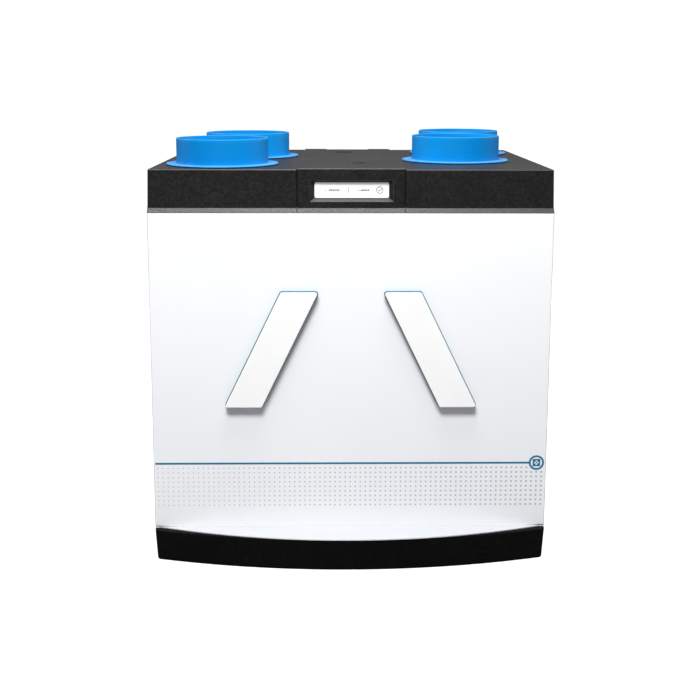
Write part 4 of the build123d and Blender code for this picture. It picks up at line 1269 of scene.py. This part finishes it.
@dataclass
class PanelPrint:
    """The blue line, the ring with its square pattern, and the rows of dots on the front panel.

    Attributes:
        thickness: Thickness of the ink.
        line_height: Height of the line over the floor.
        line_width: Width of the line.
        ring_x: Distance of the ring's centre from the middle.
        ring_radius: Its outer radius.
        ring_line: The width of its line.
        cell: Size of a cell of the square inside it.
        clearance: Distance that the dots keep from it.
        corner: Rounding of the printed bars.
        first_row: Height of the top row of dots.
        rows: Number of rows.
        row_pitch: Distance between rows.
        columns: Number of columns.
        column_pitch: Distance between columns.
        first_column: Place of the first column.
        smallest: Diameter of the dots at the left.
        largest: Diameter of the dots at the right.
    """

    thickness: float = 0.00012
    line_height: float = 0.1942
    line_width: float = 0.0038
    ring_x: float = 0.363
    ring_radius: float = 0.0150
    ring_line: float = 0.0039
    cell: float = 0.0030
    clearance: float = 0.0026
    corner: float = 0.0002
    first_row: float = 0.1848
    rows: int = 9
    row_pitch: float = 0.00945
    columns: int = 77
    column_pitch: float = 0.00983
    first_column: float = -0.374
    smallest: float = 0.0023
    largest: float = 0.0043

    def build(self) -> None:
        """Prints everything on the panel's face."""
        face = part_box("control_cover")[0].y - self.thickness
        self.line(face)
        self.ring(face)
        self.pattern(face)
        self.dots(face)

    def line(self, face: float) -> None:
        """Prints the line from the panel's left edge to the ring."""
        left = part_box("front_panel")[0].x + 0.0032
        right = self.ring_x - self.ring_radius + 0.0004
        line = bar_outlines(
            np.array([[(left + right) / 2.0, self.line_height]]), right - left, self.line_width, self.corner
        )
        self.ink(Surface("panel_line").slabs(line, face, self.thickness))

    def ring(self, face: float) -> None:
        """Prints the ring at the line's right end."""
        centre = (self.ring_x, self.line_height)
        self.ink(printed_ring("panel_ring", centre, self.ring_radius, self.ring_line, face, self.thickness))

    def pattern(self, face: float) -> None:
        """Prints a plain checked square inside the ring: a border of cells round every other cell inside it."""
        across, up = np.meshgrid(np.arange(5) - 2, np.arange(5) - 2)
        filled = ((across + up) % 2 == 0) | (np.maximum(np.abs(across), np.abs(up)) == 2)
        centres = np.stack([across[filled], up[filled]], axis=-1) * self.cell
        centres = centres + np.array([self.ring_x, self.line_height])
        cells = bar_outlines(centres, self.cell * 0.98, self.cell * 0.98, self.corner)
        self.ink(Surface("panel_ring_square").slabs(cells, face, self.thickness))

    @staticmethod
    def ink(surface: Surface) -> None:
        """Finishes a mark in the line's blue."""
        surface.finish(LINE_BLUE, Body.CASING, Slot.COLLAR_BLUE, smooth=False)

    def dots(self, face: float) -> None:
        """Prints the rows of dots, which grow from left to right.

        A dot's diameter is the smallest plus its share of the way to the right times the difference to the
        largest. Dots that would meet the ring are left out.
        """
        columns = self.first_column + np.arange(self.columns) * self.column_pitch
        rows = self.first_row - np.arange(self.rows) * self.row_pitch
        across, up = (grid.ravel() for grid in np.meshgrid(columns, rows))
        share = (across - columns[0]) / (columns[-1] - columns[0])
        radii = (self.smallest + (self.largest - self.smallest) * share) / 2.0
        clear = np.hypot(across - self.ring_x, up - self.line_height) > self.ring_radius + self.clearance
        dots = disc_outlines(np.stack([across[clear], up[clear]], axis=-1), radii[clear], corners=12)
        surface = Surface("panel_dots").slabs(dots, face, self.thickness)
        surface.finish(DOT_GREY, Body.CASING, Slot.PANEL_WHITE, smooth=False)


@dataclass
class DisplayMarks:
    """The marks on the display window and the button. Its words are drawn as plain blocks.

    Attributes:
        thickness: Thickness of the print.
        tick_line: Width of the tick's strokes.
        button_ring: Outer radius of the ring on the button.
    """

    thickness: float = 0.0001
    tick_line: float = 0.0011
    button_ring: float = 0.0065

    def build(self) -> None:
        """Prints the window's marks and the button's ring and tick."""
        low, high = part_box("display_window")
        self.window(low.y - self.thickness, (low.z + high.z) / 2.0)
        low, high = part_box("reset_button")
        self.button(low.y - self.thickness, ((low.x + high.x) / 2.0, (low.z + high.z) / 2.0))

    def window(self, face: float, height: float) -> None:
        """Prints two dashes, two rows of blocks and the bar between them.

        Args:
            face: The y of the print's front.
            height: Height of the marks' middle.
        """
        blocks = np.concatenate([-0.0404 + 0.0034 * np.arange(6), 0.0190 + 0.0034 * np.arange(5)])
        rows = np.full(len(blocks), height)
        outlines = bar_outlines(np.stack([blocks, rows], axis=-1), 0.0026, 0.0027, 0.0003)
        surface = Surface("display_blocks").slabs(outlines, face, self.thickness)
        surface.finish(MARK_DARK, Body.CASING, Slot.DISPLAY_WHITE, smooth=False)
        dashes = np.array([[-0.0476, height - 0.0003], [0.0136, height - 0.0003]])
        separator = np.array([[-0.0056, height]])
        surface = Surface("display_dashes")
        surface.slabs(bar_outlines(dashes, 0.0038, 0.0011, 0.0004), face, self.thickness)
        surface.slabs(bar_outlines(separator, 0.0011, 0.0110, 0.0003), face, self.thickness)
        surface.finish(MARK_GREY, Body.CASING, Slot.DISPLAY_WHITE, smooth=False)

    def button(self, face: float, centre: tuple[float, float]) -> None:
        """Prints a ring and a tick on the button.

        The tick is a strip of constant width along two strokes, each end square to its stroke.

        Args:
            face: The y of the print's front.
            centre: The button's (x, z).
        """
        surface = printed_ring("button_ring", centre, self.button_ring, self.tick_line, face, self.thickness)
        surface.finish(MARK_DARK, Body.BUTTON, Slot.DISPLAY_WHITE, smooth=False)
        start, bend, end = np.array([-0.0028, 0.0001]), np.array([-0.0007, -0.0020]), np.array([0.0030, 0.0020])
        strokes = []
        for first, last in ((start, bend), (bend, end)):
            along = (last - first) / np.linalg.norm(last - first)
            aside = np.array([-along[1], along[0]]) * self.tick_line / 2.0
            cap = along * self.tick_line / 2.0
            strokes.append([first - aside - cap, last - aside + cap, last + aside + cap, first + aside - cap])
        surface = Surface("button_tick").slabs(np.array(strokes) + np.array(centre), face, self.thickness)
        surface.finish(MARK_DARK, Body.BUTTON, Slot.DISPLAY_WHITE, smooth=False)


@dataclass
class SteamVents:
    """The round slotted marks that the mould's steam vents leave on the foam blocks.

    Attributes:
        radius: Outer radius of a mark.
        proud: How far a mark stands proud of the foam.
        inset: Distance of the marks from the block's edges.
        line: Width of a mark's ring.
        bar_shifts: Places of the three bars across a mark.
        half_bar: Half the width of a bar.
    """

    radius: float = 0.0038
    proud: float = 0.00025
    inset: float = 0.024
    line: float = 0.0007
    bar_shifts: tuple[float, ...] = (-0.0015, 0.0, 0.0015)
    half_bar: float = 0.0003

    def build(self) -> None:
        """Puts marks on the top, near the outer corners of both side blocks."""
        for side in ("left", "right"):
            low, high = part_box(f"top_block_{side}")
            outer = low.x + self.inset if side == "left" else high.x - self.inset
            inner = high.x - self.inset * 0.7 if side == "left" else low.x + self.inset * 0.7
            places = np.array([
                [outer, low.y + 0.034], [inner, low.y + 0.034], [outer, high.y - self.inset],
                [inner, high.y - self.inset], [inner, (low.y + high.y) / 2.0 + 0.02],
            ])
            self.marks(f"steam_vents_{side}", places, high.z)

    def marks(self, name: str, places: np.ndarray, top: float) -> None:
        """Draws a ring with three bars across it at each place.

        The ring is a four-cornered section carried round in 28 steps; a bar is a box whose ends meet the ring.

        Args:
            name: Name of the piece.
            places: Marks and (x, y).
            top: Height of the foam's top.
        """
        surface = Surface(name)
        section = band(self.radius, self.line, top, top + self.proud)
        for x, y in places:
            ring = revolve(section, (x, y), steps=28)
            surface.grid(ring[::-1], wrap_rows=True, wrap_columns=True)
            for shift in self.bar_shifts:
                half = math.sqrt((self.radius - 0.0005) ** 2 - shift**2)
                self.bar(surface, (x, y + shift), half, top)
        surface.finish(BLACK_FOAM_TOP, Body.CASING, Slot.FOAM_BLACK, smooth=False)

    def bar(self, surface: Surface, centre: tuple[float, float], half: float, top: float) -> None:
        """Adds one bar of a mark as a closed box.

        Args:
            surface: The surface that takes it.
            centre: The bar's (x, y).
            half: Half its length.
            top: Height of the foam's top.
        """
        signs = np.array([[-1, -1], [1, -1], [1, 1], [-1, 1]])
        plan = np.array(centre) + signs * np.array([half, self.half_bar])
        levels = np.array([top, top + self.proud])
        points = np.concatenate([np.column_stack([plan, np.full(4, level)]) for level in levels])
        first = surface.block(points)
        faces = [[3, 2, 1, 0], [4, 5, 6, 7], [0, 1, 5, 4], [1, 2, 6, 5], [2, 3, 7, 6], [3, 0, 4, 7]]
        surface.join(first + np.array(faces))


# ---------------------------------------------------------------- studio


@dataclass(frozen=True)
class Softbox:
    """A rectangular softbox.

    Attributes:
        name: The light's name.
        place: Where it hangs.
        aim: The point it faces.
        size: Its width and height.
        power: Its power in watts.
    """

    name: str
    place: tuple[float, float, float]
    aim: tuple[float, float, float]
    size: Pair
    power: float

    def hang(self) -> None:
        """Hangs the softbox, unseen by the camera."""
        lamp = bpy.data.lights.new(self.name, "AREA")
        lamp.shape = "RECTANGLE"
        lamp.size, lamp.size_y = self.size
        lamp.energy = self.power
        holder = bpy.data.objects.new(self.name, lamp)
        holder.visible_camera = False
        holder.location = self.place
        holder.rotation_euler = (Vector(self.aim) - Vector(self.place)).to_track_quat("-Z", "Y").to_euler()
        bpy.context.scene.collection.objects.link(holder)


SOFTBOXES = (
    Softbox("key", (-0.30, -2.1, 3.05), (0.0, -0.26, 0.42), (1.3, 0.75), 137.0),
    Softbox("top_bank", (0.0, -0.45, 1.85), (0.0, 0.0, 0.77), (0.7, 0.5), 17.0),
    Softbox("back_bank", (0.0, 3.2, 1.30), (0.0, 0.0, 0.80), (3.4, 0.9), 2.0),
    Softbox("low_back_bank", (0.0, 2.6, 0.24), (0.0, 0.3, 0.40), (2.6, 0.44), 20.0),
    Softbox("side_bank_left", (-3.0, 0.9, 2.0), (0.0, 0.0, 0.38), (1.2, 1.0), 56.0),
    Softbox("side_bank_right", (3.0, 0.9, 2.0), (0.0, 0.0, 0.38), (1.2, 1.0), 56.0),
)


@dataclass
class Studio:
    """Pale floor, soft light and camera.

    Attributes:
        floor_reach: Distance from the middle to the floor's edges.
        air_light: Strength of the air's light on the pieces.
        air_seen: Strength of the air as the camera sees it.
        camera_place: Where the camera stands.
        yaw: Turn of the camera about the vertical.
        pitch: How far it looks down.
        roll: Its tilt.
        lens: Focal length in millimetres on a 36 mm sensor.
        shift: Upward shift of the picture as a share of its width.
    """

    floor_reach: float = 9.0
    air_light: float = 0.145
    air_seen: float = 1.05
    camera_place: tuple[float, float, float] = (-0.0350, -2.1840, 0.9270)
    yaw: float = -0.0170
    pitch: float = 0.1560
    roll: float = 0.0030
    lens: float = 53.27
    shift: float = -0.15

    def build(self) -> None:
        """Sets up everything round the unit."""
        bpy.context.scene.view_settings.view_transform = "Standard"
        self.world()
        self.floor()
        for softbox in SOFTBOXES:
            softbox.hang()
        self.camera()

    def world(self) -> None:
        """Makes the air round the unit white to the camera and a softer light to the pieces."""
        world = bpy.data.worlds.new("white room")
        world.use_nodes = True
        world.node_tree.nodes.clear()
        wires = Wiring(world.node_tree)
        strength = wires.for_camera(self.air_light, self.air_seen)
        air = wires.node("Background", {"Color": OPAQUE_WHITE, "Strength": strength})
        wires.node("OutputWorld", {"Surface": air.outputs[0]})
        bpy.context.scene.world = world

    def floor(self) -> None:
        """Lays a wide pale floor that glows for the camera."""
        reach = self.floor_reach
        corners = [(-reach, -reach, 0.0), (reach, -reach, 0.0), (reach, reach, 0.0), (-reach, reach, 0.0)]
        mesh = bpy.data.meshes.new("floor")
        mesh.from_pydata(corners, [], [(0, 1, 2, 3)])
        mesh.materials.append(PALE_FLOOR.material())
        floor = bpy.data.objects.new("floor", mesh)
        bpy.context.scene.collection.objects.link(floor)

    def camera(self) -> None:
        """Stands the camera in front, turned by yaw, then pitch, then roll."""
        data = bpy.data.cameras.new("camera")
        data.sensor_width = 36.0
        data.lens = self.lens
        data.shift_y = self.shift
        data.clip_end = 60.0
        camera = bpy.data.objects.new("camera", data)
        turned = (
            Matrix.Rotation(self.yaw, 4, "Z")
            @ Matrix.Rotation(QUARTER - self.pitch, 4, "X")
            @ Matrix.Rotation(self.roll, 4, "Z")
        )
        camera.matrix_world = Matrix.Translation(Vector(self.camera_place)) @ turned
        bpy.context.scene.collection.objects.link(camera)
        bpy.context.scene.camera = camera


def main() -> None:
    """Dresses the CAD pieces, builds the new ones and sets up the studio."""
    logging.basicConfig(level=logging.INFO, format="%(name)s: %(message)s")
    Casing().dress()
    for place in ("front_left", "rear_left", "front_right", "rear_right"):
        DuctCollar(f"duct_collar_{place}").build()
    FilterMedium("left", Body.FILTER_LEFT).build()
    FilterMedium("right", Body.FILTER_RIGHT).build()
    for made in (PanelPrint(), DisplayMarks(), SteamVents(), Studio()):
        made.build()


if __name__ == "__main__":
    main()
